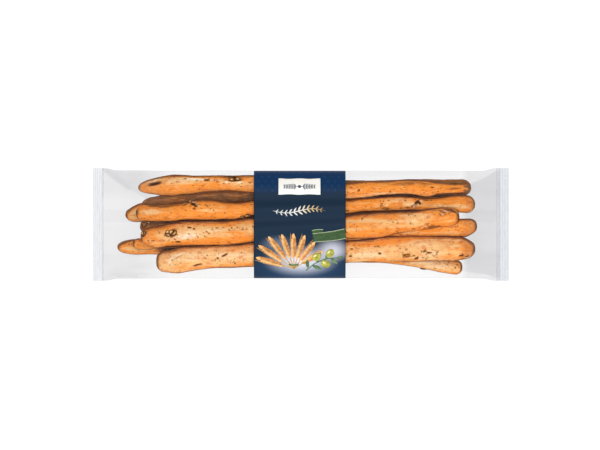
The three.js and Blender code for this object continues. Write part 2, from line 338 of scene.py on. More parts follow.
# Slits and pits in the crust that the shown side has: (x, y, length, width, depth, turn in
# degrees) for each stick.
SLITS = {
    "a": [(-105, 29.5, 9.8, 2.7, 1.1, 3), (-83.1, 32.7, 2.4, 1.0, 0.3, 0),
          (-67.6, 32.2, 4.2, 1.9, 0.6, 0), (14, 25, 3.0, 0.9, 0.3, 8),
          (41.5, 24.6, 1.9, 1.6, 0.5, 0), (113, 26.0, 4.0, 0.7, 0.2, 0),
          (117.5, 24.6, 2.0, 1.2, 0.4, 20)],
    "b": [(-76.6, 11.5, 2.0, 1.6, 0.5, 0), (-67.6, 13.5, 3.6, 0.9, 0.3, -40),
          (-54.7, 8.3, 1.6, 1.0, 0.3, 0), (33.5, 9.7, 2.2, 1.6, 0.4, 0),
          (57.9, 13.3, 1.8, 1.0, 0.3, 0), (62.9, 17.4, 1.6, 1.1, 0.3, 0),
          (71.9, 11.4, 1.6, 0.9, 0.4, 0), (74.8, 17.3, 1.5, 1.2, 0.3, 0),
          (76.3, 12.1, 2.2, 1.0, 0.5, 10), (79.5, 12.8, 1.6, 0.9, 0.4, 0)],
    "c": [(-113, -13, 1.4, 1.0, 0.4, 0), (-109.4, -11.5, 1.4, 1.0, 0.4, 0),
          (-105.8, -11.5, 2.4, 1.0, 0.4, 0), (-88.1, -12.6, 3.8, 1.8, 0.7, -5),
          (-79.9, -2.0, 3.2, 1.5, 0.6, -8), (-76.6, -3.0, 1.9, 1.5, 0.5, 0),
          (-67.6, -5, 1.4, 1.2, 0.3, 0), (-65.8, -6.3, 1.3, 1.2, 0.3, 0),
          (-60.1, -2.5, 1.2, 1.1, 0.3, 0), (-51.4, -4, 1.3, 1.2, 0.3, 0),
          (-49.6, -2.2, 1.4, 1.3, 0.4, 0), (-41.7, -3.7, 1.6, 1.0, 0.3, 0),
          (43.9, 4.5, 1.8, 1.6, 0.3, 0), (80.6, -3.4, 2.4, 1.4, 0.5, 0),
          (88.6, -3.0, 4.6, 2.0, 0.15, 28), (93.2, -1.7, 5.6, 3.0, 0.3, 4),
          (97.6, -1.5, 6.0, 1.6, 0.3, -6), (106.5, 10.6, 9, 3.2, 0.5, -18),
          (102.2, 8.6, 4.0, 1.6, 0.2, 10), (109.3, 10.2, 7.5, 2.0, 0.6, -30)],
    "d": [(-88, -23.5, 8.0, 0.8, 0.0, 23), (-74.1, -29.0, 6.4, 1.4, 0.8, 8),
          (-68.3, -24.5, 1.4, 1.2, 0.2, 0), (-59.7, -24.2, 1.7, 1.5, 0.5, 0),
          (-58.3, -26.3, 1.2, 1.0, 0.2, 0), (-54.7, -21.9, 5.0, 1.3, 0.7, 28),
          (-47.3, -27.9, 1.4, 1.4, 0.6, 0), (35.5, -23, 2.4, 1.4, 0.8, 0),
          (36.3, -17.4, 2.2, 1.1, 0.4, 0), (52.9, -15.8, 1.6, 1.0, 0.2, 0),
          (56.5, -20.9, 2.2, 1.8, 0.6, 0), (56.5, -16.3, 1.5, 1.0, 0.2, 0),
          (80.9, -22.4, 2.2, 1.4, 0.4, 0), (83.1, -24.3, 1.8, 1.6, 0.7, 0),
          (88.8, -19.1, 2.6, 1.1, 0.6, -10), (91.9, -20.2, 3.6, 1.2, 0.6, -4),
          (97.5, -20.1, 1.3, 1.2, 0.3, 0), (115.1, -22.4, 3.4, 1.6, 0.9, 8)],
    "e": [(-69, 22.4, 66, 1.6, 0.4, 3)],
    "h": [(-120.3, -12.8, 2.0, 1.8, 0.6, 0), (-92, -15.6, 22, 3.5, 0.6, 6)],
    "i": [(-90, -17.4, 26, 5.5, 0.8, 10), (111.1, -31.1, 1.6, 1.4, 0.4, 0),
          (112.9, -29, 1.4, 1.2, 0.3, 0)],
}

# Patches of fine specks: (x, y, length, width, number of specks) for each stick.
SPECKLED = {
    "a": [(-66, 32.0, 44, 3, 12), (-60, 27.5, 60, 8, 8), (60, 24.5, 60, 5, 5)],
    "b": [(-79, 15.0, 14, 4, 12), (-60, 8.5, 56, 7, 3), (83, 14.8, 9, 4, 12),
          (66, 12.4, 26, 4, 9)],
    "c": [(-52, -2.6, 26, 4, 12), (-98, -11.6, 24, 2.5, 14), (-82, -9.0, 30, 4, 6),
          (101, 8.4, 14, 4, 22), (92, -1.8, 15, 4.5, 20), (60, 0, 50, 12, 4)],
    "d": [(-58, -23.5, 44, 9, 5), (92.5, -20.8, 13, 6, 34), (84, -24.2, 14, 3, 12),
          (56, -18.5, 44, 9, 8), (117, -23, 8, 4, 10)],
    "h": [(-112, -12.5, 12, 5, 5)],
}

# Patches of the shown side that are painted as baked more (above 0) or less (below 0) than the
# rest of the stick: (x, y, length, width, turn in degrees, amount). Some are real tone; the
# paler ones along a, c and d also serve as painted highlights, and the browner ones on the upper
# flanks and tips of a, b, f and i as painted shade.
TONES = {
    "a": [(-83.4, 31.0, 30, 4, 0, -0.8), (-49, 29, 24, 5, 0, -0.35), (-78, 26.2, 60, 4, 0, 0.4),
          (104, 25.0, 30, 6, 0, 0.3), (60, 24, 60, 5, 0, 0.12), (112, 25.9, 12, 2.0, 0, 0.4),
          (118.2, 27.4, 4.5, 2.4, 0, 0.75), (119.0, 23.6, 6, 2.6, 0, 0.9),
          (121, 25.6, 3.4, 8, 0, 0.6), (112, 29.6, 16, 2.6, 0, 1.0), (5, 29, 40, 4, 0, -0.2),
          (78, 29, 84, 7, 0, 0.8), (66, 22.4, 74, 4, 0, -0.35), (-106, 31.4, 12, 1.8, 8, -1.4),
          (-76, 32.6, 24, 1.6, -3, -1.6), (-53, 30.6, 3.6, 1.6, 0, -1.7),
          (-44, 30.4, 5, 1.6, 0, -1.5)],
    "b": [(-107.2, 9.0, 15, 6, 0, -0.6), (-69, 9.4, 16, 4, 0, -0.4), (-60, 6, 60, 5, 2, 0.35),
          (61.1, 14, 3.6, 1.6, 0, -0.9), (71.2, 17, 24, 5, 0, -0.4), (77, 14.7, 9, 3, 0, -0.6),
          (81.3, 15.1, 1.6, 1.4, 0, -1.0), (86.7, 14.9, 1.6, 1.3, 0, -1.0),
          (108, 12.6, 24, 5, 0, -0.4), (88, 17.6, 14, 3, -6, 1.0), (-98, 13.4, 36, 4.0, 0, 0.85),
          (38, 17, 14, 3, 12, 0.8), (-84, 15.6, 5, 1.6, 10, -2.4),
          (-77.0, 16.4, 5, 1.6, -30, -2.6), (-73.6, 14.4, 2.4, 1.6, 0, -2.4),
          (86.2, 17.0, 2.4, 1.6, 0, -2.8), (81.6, 13.4, 3, 1.6, 0, -2.4)],
    "c": [(-83, -7.4, 26, 8, 6, -0.75), (-64, -4.6, 32, 5, 8, -0.55),
          (-58, -11.6, 62, 5, 2, 0.45), (-107, -8.3, 12, 12, 0, 0.2), (80, 3.5, 26, 7, 4, -0.4),
          (48, -5.4, 36, 6, 4, 0.4), (103.6, 6.6, 20, 9, 0, 0.5), (-81, -8.8, 17, 2.2, 6, -0.9),
          (104, 9.6, 7, 1.5, 8, -2.0), (100.8, 7.6, 3, 1.4, 0, -2.0), (96, -2.2, 12, 4, 0, 1.3),
          (62, 6, 16, 3, 0, 0.5), (0, 0, 30, 5, 3, -0.3)],
    "d": [(-88.5, -22.3, 11, 1.8, 23, -1.0), (-93.4, -25.6, 4.4, 1.8, 64, -1.0),
          (-93.2, -28.9, 5.4, 1.8, -60, -1.0), (121, -12.5, 9, 2.4, -42, 1.0),
          (-78, -22.4, 30, 9, 4, -0.6), (-49.6, -23.4, 30, 8, 3, -0.5),
          (-98.6, -27.7, 9, 14, 0, -0.25), (-80, -31, 44, 4, 3, -0.2),
          (58.3, -12.9, 62, 5, 4, 0.5), (44, -22.7, 40, 7, 0, -0.45),
          (92.8, -21.7, 18, 9, 0, -0.45), (82, -17, 80, 16, 0, -0.1),
          (121.5, -23.2, 2.6, 1.5, 0, -2.4), (119, -16.2, 10, 16, 0, 0.4)],
    "f": [(-122, 11.2, 12, 3.4, 20, 1.3), (-119, 6.6, 12, 7, 0, -0.3)],
    "i": [(-125.6, -12.2, 17, 3.4, 16, 1.5), (-122, -17.4, 16, 6, 0, -0.25),
          (92, -27.5, 56, 16, 0, -0.75)],
}

# Where two sticks have baked together, so that no painted edge shade parts them:
# (x, y, length, width, turn in degrees).
JOINS = {"b": [(-114, 13.6, 9, 7, 0), (-111, 3.0, 10, 4, 0)],
         "c": [(68, -7.6, 52, 12, 12)], "h": [(68, -6.4, 58, 12, 8)]}

# Olive pieces baked into the shown side: (x, y, length, width, turn in degrees, kind).
OLIVES = {
    "a": [(-47.5, 32.6, 8.6, 3.0, 2, "slice"), (-50.5, 34.7, 11, 1.6, 0, "chunk")],
    "b": [(-83.8, 14.4, 2.2, 1.3, 0, "slice"), (-79.5, 16.6, 3.2, 1.6, 8, "slice"),
          (-77.2, 14.7, 3.8, 2.0, -35, "chunk"), (-75.2, 13.3, 2.0, 1.2, 0, "chunk"),
          (-41.7, 5.8, 3.0, 2.0, 5, "slice"), (-38.1, 6.8, 3.2, 2.2, 0, "slice"),
          (-35.0, 6.4, 2.8, 2.0, 0, "chunk"), (60.8, 11.4, 4.0, 1.6, -4, "bit"),
          (83.3, 16.0, 3.8, 1.7, 40, "chunk"), (84.8, 15.4, 2.4, 1.2, -30, "chunk")],
    "c": [(-95.4, -6.5, 3.8, 3.6, 60, "slice"), (-91.9, -6.2, 4.9, 4.6, 20, "slice"),
          (-112.9, -6.4, 3.8, 3.6, 60, "slice")],
    "d": [(75.5, -22.4, 4.6, 2.6, 8, "bit"), (83.1, -24.2, 1.6, 1.3, 0, "chunk"),
          (119.0, -23.0, 2.4, 1.3, 0, "chunk"), (82.6, -24.6, 2.4, 1.3, -20, "bit")],
    "g": [(-113.6, -0.4, 4.6, 3.2, -50, "bit"), (-110.0, 0.6, 3.2, 2.0, 10, "slice")],
}

# A slice of olive, from the middle of its underside over the rim to the hole in its middle:
# share of its radius, share of its thickness and how pale it is.
SLICE_PROFILE = (
    (0.05, 0.8, 1.0, 1.0, 0.9, 0.8, 0.6, 0.42, 0.3, 0.04),
    (-0.6, -0.6, -0.2, 0.2, 0.4, 0.36, 0.24, 0.1, -0.1, -0.2),
    (0, 0, 0, 0, 0, 0.7, 1.0, 0.8, 0.0, 0.0),
)
SLICE_THICKNESS = 1.3
SLICE_WAVES = (0.2, 0.14)  # of its rim, two and three times round it
SLICE_UNEVENNESS = 0.3  # of its thickness
CHUNK_FLESH = {"chunk": -0.3, "bit": 0.12}  # how pale a dark piece and an olive-brown one are

OLIVE_SEED = 7
OLIVE_SAMPLES = 28
CHUNK_RINGS = 14
CHUNK_START = 0.1  # of the half turn of its rings, in radians
CHUNK_HEIGHT = 0.28  # share of its width, to each side
CHUNK_LUMPS = (0.42, 0.75, 21)
CHUNK_MOTTLE = (0.4, 0.6, 22)

OVAL_SHARPNESS = 1.2
OUTERMOST = 0.98  # share of a radius at which a mark still lies on the stick

# Marks: darkness is from 0 to 1, stretch is length over size and turn is at most so much.
# Slits have their own darker crust, and are painted darker still as they get deeper: painted
# shade in the recess.
SLIT_DARKNESS_AND_SHADE = (0.35, 0.8)  # of a mark with no depth, and more for each mm of depth
OLIVE_BED = {"spread": (1.25, 1.3), "depth": 0.3, "darkness": 0.8}
SPECK = {"size": (0.6, 1.4), "stretch": (1, 1.8), "depth": 0.15, "turn": 0.7,
         "darkness": (0.2, 0.55)}
# Small random pits all round every stick. Their depth is a share of their size.
PITS = {"number": 26, "margin": 4, "size": (0.6, 1.5), "stretch": (1, 2.6), "depth": 0.25,
        "turn": 0.4, "darkness": (0.2, 0.6)}
# Olive pieces low on the sides and under every stick. Their angles are in half turns.
HIDDEN_OLIVES = {"number": 3, "margin": 12, "angles": (1.16, 1.84), "length": (3.5, 6.5),
                 "width": 0.6, "turn": 1}


# ---- Numbers ----

def smoothstep(value, low, high):
    way = np.clip((value - low) / (high - low), 0, 1)
    return way * way * (3 - 2 * way)


def lerp(low, high, share):
    return low + (high - low) * share


def smooth_curve(stations, values, x):
    """A smooth curve through (station, value) points, read at every x."""
    stations = np.asarray(stations, float)
    values = np.asarray(values, float)
    slopes = np.gradient(values, stations)
    x = np.clip(x, stations[0], stations[-1])
    i = np.clip(np.searchsorted(stations, x) - 1, 0, len(stations) - 2)
    step = stations[i + 1] - stations[i]
    t = (x - stations[i]) / step
    return (
        (2 * t**3 - 3 * t**2 + 1) * values[i]
        + (t**3 - 2 * t**2 + t) * step * slopes[i]
        + (3 * t**2 - 2 * t**3) * values[i + 1]
        + (t**3 - t**2) * step * slopes[i + 1]
    )


HASH_FACTORS = (73856093, 19349663, 83492791)  # for a corner's x, y and z
HASH_MIXERS = (40503, 1274126177, 668265263)


def corner_noise(cell, seed):
    """One fixed random number from -1 to 1 for each whole-number corner."""
    placed = [cell[..., i] * factor for i, factor in enumerate(HASH_FACTORS)]
    mixed = placed[0] ^ placed[1] ^ placed[2]
    mixed = (mixed ^ seed * HASH_MIXERS[0]) * HASH_MIXERS[1]
    mixed = (mixed ^ mixed >> 15) * HASH_MIXERS[2]
    mixed = mixed ^ mixed >> 13
    return (mixed & 65535) / 32767.5 - 1


def noise(points, size, seed):
    """A smooth random field from -1 to 1, with features of a size (x, y, z) in mm."""
    scaled = points / np.asarray(size, float)
    cell = np.floor(scaled).astype(np.int64)
    way = scaled - cell
    way = way * way * (3 - 2 * way)
    total = np.zeros(points.shape[:-1])
    for corner in np.ndindex(2, 2, 2):
        corner = np.array(corner)
        weight = np.prod(np.where(corner == 1, way, 1 - way), axis=-1)
        total += weight * corner_noise(cell + corner, seed)
    return total


def field(points, kind):
    """Noise of one kind: its height, the size (x, y, z) of its features and its seed."""
    height, size, seed = kind
    return height * noise(points, size, seed)


def distance_to_line(x, y, corners):
    """Distance from every (x, y) to the nearest point of a line through corners."""
    nearest = np.full(np.shape(x), np.inf)
    for (x0, y0), (x1, y1) in zip(corners, corners[1:]):
        run, climb = x1 - x0, y1 - y0
        way = np.clip(((x - x0) * run + (y - y0) * climb) / (run**2 + climb**2), 0, 1)
        nearest = np.minimum(nearest, np.hypot(x - x0 - way * run, y - y0 - way * climb))
    return nearest


def grid_normals(points):
    """Unit normals of a grid of rings, each ring anticlockwise as seen from +X."""
    wrapped = np.concatenate([points[:, -1:], points, points[:, :1]], axis=1)
    around = wrapped[:, 2:] - wrapped[:, :-2]
    along = np.gradient(points, axis=0)
    normals = np.cross(around, along)
    length = np.linalg.norm(normals, axis=-1, keepdims=True)
    return normals / np.maximum(length, 1e-9)


# ---- The film's shape ----

LEFT_SEAL = -PACK_LENGTH / 2 + SEAL_DEPTH["left"]
RIGHT_SEAL = PACK_LENGTH / 2 - SEAL_DEPTH["right"]


def distance_from_seal(x):
    return np.maximum(np.minimum(x - LEFT_SEAL, RIGHT_SEAL - x), 0)


def distance_from_band(x):
    return np.maximum(np.abs(x - BAND_CENTRE) - BAND_LENGTH / 2, 0)


def shoulder(x, length):
    """0 at the seal and 1 where the film has climbed (or dropped) all the way."""
    way = np.clip(distance_from_seal(x) / length, 0, 1)
    return 1 - (1 - way) ** SHOULDER_CURVE


def half_width(x):
    flare = 1 - smoothstep(distance_from_seal(x), 0, FLARE_LENGTH)
    return lerp(BODY_HALF_WIDTH, SEAL_HALF_WIDTH, flare)


def ridge_height(x, y):
    height = 0
    for ridge in RIDGES:
        (x0, y0), (x1, y1) = ridge["start"], ridge["end"]
        crest = lerp(y0, y1, np.clip((x - x0) / (x1 - x0), 0, 1))
        begun = smoothstep(x, x0 - RIDGE_FADE, x0 + RIDGE_FADE)
        over = smoothstep(x, x1 - RIDGE_FADE, x1 + RIDGE_FADE)
        bell = np.exp(-2 * ((y - crest) / ridge["reach"]) ** 2)
        height = height + ridge["rise"] * begun * (1 - over) * bell
    return height


def film_level(x, across, top, inset=0.0):
    """Height of the film at a share across (-1 to 1) of its half width."""
    rise = shoulder(x, SHOULDER_LENGTH)
    widest = lerp(SEAL_LEVEL, PACK_HEIGHT * WIDEST_SHARE, rise)
    power = lerp(END_SQUARENESS, BODY_SQUARENESS, rise)
    arch = np.maximum(1 - np.abs(across) ** power, 0) ** (1 / power)
    crown = lerp(SEAL_LEVEL + ROOT_THICKNESS / 2, PACK_HEIGHT, rise) - inset
    y = (half_width(x) - inset) * across
    ridge = ridge_height(x, y) * smoothstep(arch, CREST_BAND, 1)
    over = widest + (crown - widest) * arch + ridge
    drop = shoulder(x, UNDERSIDE_LENGTH)
    keel = lerp(SEAL_LEVEL - ROOT_THICKNESS / 2, -UNDERSIDE_DIP, drop) + inset
    under = np.maximum(widest + (keel - widest) * arch, inset + UNDERSIDE_LIFT)
    return np.where(top, over, under)


def film_rings(stations, inset, top_samples=TOP_SAMPLES, under_samples=UNDERSIDE_SAMPLES):
    """Rings of points round the film at each station, and inset may differ by station."""
    over = np.cos(np.pi * np.arange(top_samples) / top_samples)
    under = -np.cos(np.pi * np.arange(under_samples) / under_samples)
    across = np.concatenate([over, under])[None, :]
    top = (np.arange(top_samples + under_samples) < top_samples)[None, :]
    x = np.asarray(stations, float)[:, None]
    inset = np.broadcast_to(np.asarray(inset, float), x.shape[:1])[:, None]
    y = (half_width(x) - inset) * across
    z = film_level(x, across, top, inset)
    return np.stack([np.broadcast_to(x, z.shape), y, z], axis=-1)


def film_slack(points):
    """How far the loose film stands out of its plain shape: pleats, waves and folds."""
    x, y = points[..., 0], points[..., 1]
    away = distance_from_seal(x)
    pleats = field(points, PLEATS) * np.exp(-away / PLEAT_LENGTH)
    creases = 0
    for height, reach, _, line in FOLDS:
        creases = creases + height * np.exp(-distance_to_line(x, y, line) / reach)
    creases = creases * (points[..., 2] > SEAL_LEVEL)
    loose = smoothstep(away, *SEAL_GRIP) * smoothstep(distance_from_band(x), *BAND_GRIP)
    return (pleats + field(points, WAVES) + creases) * loose


def film_density_with_painted_shade(points):
    """How dense the film looks: gathered at the ends and clear along the body, with painted
    shade and light on the end facets.
    """
    x, y = points[..., 0], points[..., 1]
    away = distance_from_seal(x)
    from_side = half_width(x) - np.abs(y)
    clearer = MIDDLE_CLEARER * (1 - smoothstep(np.abs(y), *MIDDLE_REACH))
    gathered = np.full(x.shape, BODY_DENSITY)
    for outward, hip in ((-1, HIPS["left"]), (1, HIPS["right"])):
        fade = 1 - smoothstep(away, *hip["length"])
        for half in (0, 1):
            past_hip = from_side - HIP_OFFSET - hip["slopes"][half] * away
            inside = smoothstep(past_hip, -HIP_SOFTNESS, HIP_SOFTNESS)
            dense = lerp(hip["beside"][half], hip["inside"][half] - clearer, inside)
            quarter = (x * outward > 0) & ((y < 0) == half)
            gathered = np.where(quarter, lerp(BODY_DENSITY, dense, fade), gathered)
    cloud = sum(field(points, kind) for kind in CLOUDS)
    gathered = gathered + cloud * (gathered - BODY_DENSITY)
    for _, reach, denser, line in FOLDS:
        gap = distance_to_line(x, y, line)
        gathered = gathered + denser * np.exp(-(gap / reach) ** 2)
    return np.clip(gathered, 0, DENSEST)


# ---- Mesh helpers ----

def add_object(name, data):
    piece = bpy.data.objects.new(name, data)
    bpy.context.scene.collection.objects.link(piece)
    return piece


def piece_from(name, points, faces, material, slot, node):
    """A smooth-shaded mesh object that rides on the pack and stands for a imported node."""
    mesh = bpy.data.meshes.new(name)
    mesh.from_pydata((np.asarray(points).reshape(-1, 3) * MM).tolist(), [], faces)
    mesh.materials.append(material)
    mesh.shade_smooth()
    piece = add_object(name, mesh)
    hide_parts(node)
    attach(piece, "root")
    return piece


def add_attribute(piece, name, values):
    attribute = piece.data.attributes.new(name, "FLOAT", "POINT")
    attribute.data.foreach_set("value", np.asarray(values, np.float32).ravel())


def ring_quads(rings, around, closed=False):
    """Quads between neighbouring rings of points; closed joins the last ring to the first."""
    last = rings if closed else rings - 1
    here = np.arange(last)[:, None] * around
    there = (np.arange(last)[:, None] + 1) % rings * around
    i = np.arange(around)[None, :]
    j = (i + 1) % around
    quads = np.stack([here + i, here + j, there + j, there + i], axis=-1)
    return quads.reshape(-1, 4).tolist()


def capped_loft(points):
    """Points and faces of rings that are shut at both ends with a fan round a middle point."""
    rings, around = points.shape[:2]
    middles = points[[0, -1]].mean(axis=1)
    first, last = rings * around, rings * around + 1
    end = (rings - 1) * around
    faces = ring_quads(rings, around)
    for i in range(around):
        j = (i + 1) % around
        faces.append((first, j, i))
        faces.append((last, end + i, end + j))
    return np.concatenate([points.reshape(-1, 3), middles]), faces


def slab(upper, lower):
    """Points and faces of a closed slab between two grids of points, rows along +X."""
    rows, columns = upper.shape[:2]
    top = np.arange(rows * columns).reshape(rows, columns)
    quads = np.stack([top[:-1, :-1], top[1:, :-1], top[1:, 1:], top[:-1, 1:]], axis=-1)
    quads = quads.reshape(-1, 4)
    rim = np.concatenate([top[:, 0], top[-1, 1:], top[-2::-1, -1], top[0, -2:0:-1]])
    ahead = np.roll(rim, -1)
    below = rows * columns
    walls = np.stack([rim + below, ahead + below, ahead, rim], axis=-1)
    faces = np.concatenate([quads, quads[:, ::-1] + below, walls])
    return np.concatenate([upper.reshape(-1, 3), lower.reshape(-1, 3)]), faces.tolist()


def merged(parts):
    """Points and faces of several (points, faces) parts as one."""
    points, faces = [], []
    for part_points, part_faces in parts:
        first = sum(len(group) for group in points)
        points.append(part_points)
        faces.extend([first + corner for corner in face] for face in part_faces)
    return np.concatenate(points), faces


# ---- Material helpers ----

def rgb(red, green, blue):
    """A linear colour from the 0 to 255 values that a screen shows."""
    share = np.array([red, green, blue]) / 255
    linear = np.where(share <= 0.04045, share / 12.92, ((share + 0.055) / 1.055) ** 2.4)
    return (*linear.tolist(), 1.0)


FLOUR_CRUST = rgb(246, 230, 204)
HIGHLIGHT_AND_FLOURY_CRUST = rgb(242, 206, 156)
PALE_CRUST = rgb(235, 182, 117)
ORANGE_CRUST = rgb(236, 142, 46)
DEEP_CRUST = rgb(208, 92, 34)
TAN_CRUST = rgb(142, 98, 54)
BROWN_CRUST = rgb(104, 66, 34)
RIM_SHADE_AND_UNDERSIDE_CRUST = rgb(168, 102, 42)
EDGE_SHADE_AND_UNDERSIDE_CRUST = rgb(116, 58, 10)
PORE_CRUST = rgb(128, 62, 18)
SCORCHED_CRUST = rgb(150, 84, 34)
CHARRED_CRUST = rgb(50, 24, 6)


class Shader:
    """The node tree of one material, with short ways to add the nodes it needs."""

    def __init__(self, name):
        self.material = bpy.data.materials.new(name)
        self.material.use_nodes = True
        self.tree = self.material.node_tree
        self.tree.nodes.clear()
        self.position = self.add("ShaderNodeTexCoord").outputs["Object"]

    def add(self, kind, inputs=None, **settings):
        node = self.tree.nodes.new(kind)
        for key, value in settings.items():
            setattr(node, key, value)
        for socket, value in (inputs or {}).items():
            if isinstance(value, bpy.types.NodeSocket):
                self.tree.links.new(value, node.inputs[socket])
            else:
                node.inputs[socket].default_value = value
        return node

    def place(self):
        """The x, y and z of the object coordinates."""
        return self.add("ShaderNodeSeparateXYZ", {"Vector": self.position}).outputs

    def attribute(self, name):
        return self.add("ShaderNodeAttribute", attribute_name=name).outputs["Fac"]

    def stretched(self, size):
        """Object coordinates in units of a feature size (x, y, z) in mm."""
        scale = [1 / (length * MM) for length in size]
        inputs = {"Vector": self.position, "Scale": scale}
        return self.add("ShaderNodeMapping", inputs).outputs[0]

    def noise(self, size, detail=2.0, roughness=0.5):
        inputs = {"Vector": self.stretched(size), "Scale": 1.0, "Detail": detail,
                  "Roughness": roughness}
        return self.add("ShaderNodeTexNoise", inputs).outputs[0]

    def cells(self, size):
        inputs = {"Vector": self.stretched(size), "Scale": 1.0, "Randomness": 1.0}
        return self.add("ShaderNodeTexVoronoi", inputs).outputs["Distance"]

    def distance_from(self, centre, reach):
        """Distance from a centre (x, y) in mm, in units of a reach (x, y) in mm."""
        scale = [1 / (length * MM) for length in reach] + [0]
        move = [-place / length for place, length in zip(centre, reach)] + [0]
        inputs = {"Vector": self.position, "Scale": scale, "Location": move}
        placed = self.add("ShaderNodeMapping", inputs).outputs[0]
        length = self.add("ShaderNodeVectorMath", {0: placed}, operation="LENGTH")
        return length.outputs["Value"]

    def maths(self, operation, *values, clamp=False):
        settings = {"operation": operation, "use_clamp": clamp}
        return self.add("ShaderNodeMath", dict(enumerate(values)), **settings).outputs[0]

    def ramp(self, value, low, high, start=0.0, end=1.0):
        """start to end, smoothly, while value goes from low to high."""
        inputs = {"Value": value, "From Min": low, "From Max": high, "To Min": start,
                  "To Max": end}
        kind = "ShaderNodeMapRange"
        return self.add(kind, inputs, interpolation_type="SMOOTHSTEP").outputs[0]

    def mix(self, share, first, second):
        """A mix of two colours, which are the node's inputs 6 and 7."""
        node = self.add("ShaderNodeMix", {0: share, 6: first, 7: second}, data_type="RGBA")
        return node.outputs[2]

    def layered(self, colour, layers):
        """A colour with layers over it, each a share and the colour it adds."""
        for share, layer in layers:
            colour = self.mix(share, colour, layer)
        return colour

    def bump(self, height, distance, strength=1.0):
        inputs = {"Height": height, "Distance": distance * MM, "Strength": strength}
        return self.add("ShaderNodeBump", inputs).outputs[0]

    def principled(self, colour, roughness, specular, normal):
        inputs = {"Base Color": colour, "Roughness": roughness, "Specular IOR Level": specular,
                  "Normal": normal}
        return self.add("ShaderNodeBsdfPrincipled", inputs).outputs[0]

    def finish(self, surface):
        self.add("ShaderNodeOutputMaterial", {"Surface": surface})
        return self.material


# ---- Materials ----

GRAZING_POWER = 4.0
GRAZING_GLOSS = 0.5


def facing_gloss(shader, base, normal):
    """Share of light that a thin film mirrors: base where it faces the ray, more where not."""
    facing = shader.add("ShaderNodeLayerWeight", {"Normal": normal}).outputs["Facing"]
    grazing = shader.maths("POWER", facing, GRAZING_POWER)
    scaled = shader.maths("MULTIPLY", grazing, GRAZING_GLOSS - base)
    return shader.maths("ADD", scaled, base, clamp=True)


def film_surface(shader, tint, haze, body, normal, roughness, mirrored):
    """A clear film: haze is the share of its milky body, and the rest lets light through."""
    clear = shader.add("ShaderNodeBsdfTransparent", {"Color": tint}).outputs[0]
    milk = shader.principled(body, 0.35, 0.6, normal)
    hazy = shader.add("ShaderNodeMixShader", {0: haze, 1: clear, 2: milk}).outputs[0]
    gloss = shader.add("ShaderNodeBsdfGlossy", {"Roughness": roughness, "Normal": normal})
    share = facing_gloss(shader, mirrored, normal)
    mixed = {0: share, 1: hazy, 2: gloss.outputs[0]}
    return shader.finish(shader.add("ShaderNodeMixShader", mixed).outputs[0])


def film_material():
    """Thin clear film: it dims what is behind it, more where it is gathered at the ends and
    where painted shade darkens the right end.
    """
    shader = Shader("clear_film")
    gathered = shader.attribute("gathered")
    return film_surface(
        shader,
        tint=shader.mix(gathered, rgb(253, 253, 253), rgb(233, 233, 234)),
        haze=shader.ramp(gathered, 0.0, 1.0, 0.004, 0.03),
        body=rgb(222, 224, 226),
        normal=shader.bump(shader.noise((5, 5, 5), 2), 0.05, 0.5),
        roughness=0.12,
        mirrored=0.004,
    )


def seal_material():
    """Two films pressed together: milkier than the single film, with fine pressed lines."""
    shader = Shader("pressed_film")
    cloudy = shader.ramp(shader.noise((3, 9, 3), 3), 0.3, 0.75, 0.12, 0.18)
    return film_surface(
        shader,
        tint=shader.mix(shader.attribute("gathered"), rgb(253, 253, 253), rgb(235, 238, 242)),
        haze=shader.maths("MULTIPLY", cloudy, shader.attribute("pressed")),
        body=rgb(190, 191, 193),
        normal=shader.bump(shader.noise((0.5, 2.5, 0.5), 2), 0.08, 0.4),
        roughness=0.2,
        mirrored=0.02,
    )


def fin_material():
    """The folded seam under the pack, pressed so thin that it hardly shows."""
    shader = Shader("fin_film")
    return film_surface(
        shader,
        tint=rgb(254, 254, 254),
        haze=0.004,
        body=rgb(230, 232, 235),
        normal=shader.bump(shader.noise((2.5, 0.5, 0.5), 2), 0.05, 0.5),
        roughness=0.2,
        mirrored=0.004,
    )


def crust_pores(shader):
    """Clusters of pores and scattered specks, from 0 to 1."""
    where = shader.ramp(shader.noise((7, 5, 5), 1), 0.48, 0.62)
    pores = shader.ramp(shader.cells((2.1, 1.4, 1.4)), 0.1, 0.28, 0.9, 0.0)
    specks = shader.ramp(shader.cells((4.6, 3.4, 3.4)), 0.06, 0.15, 0.9, 0.0)
    return shader.maths("MAXIMUM", shader.maths("MULTIPLY", pores, where), specks)


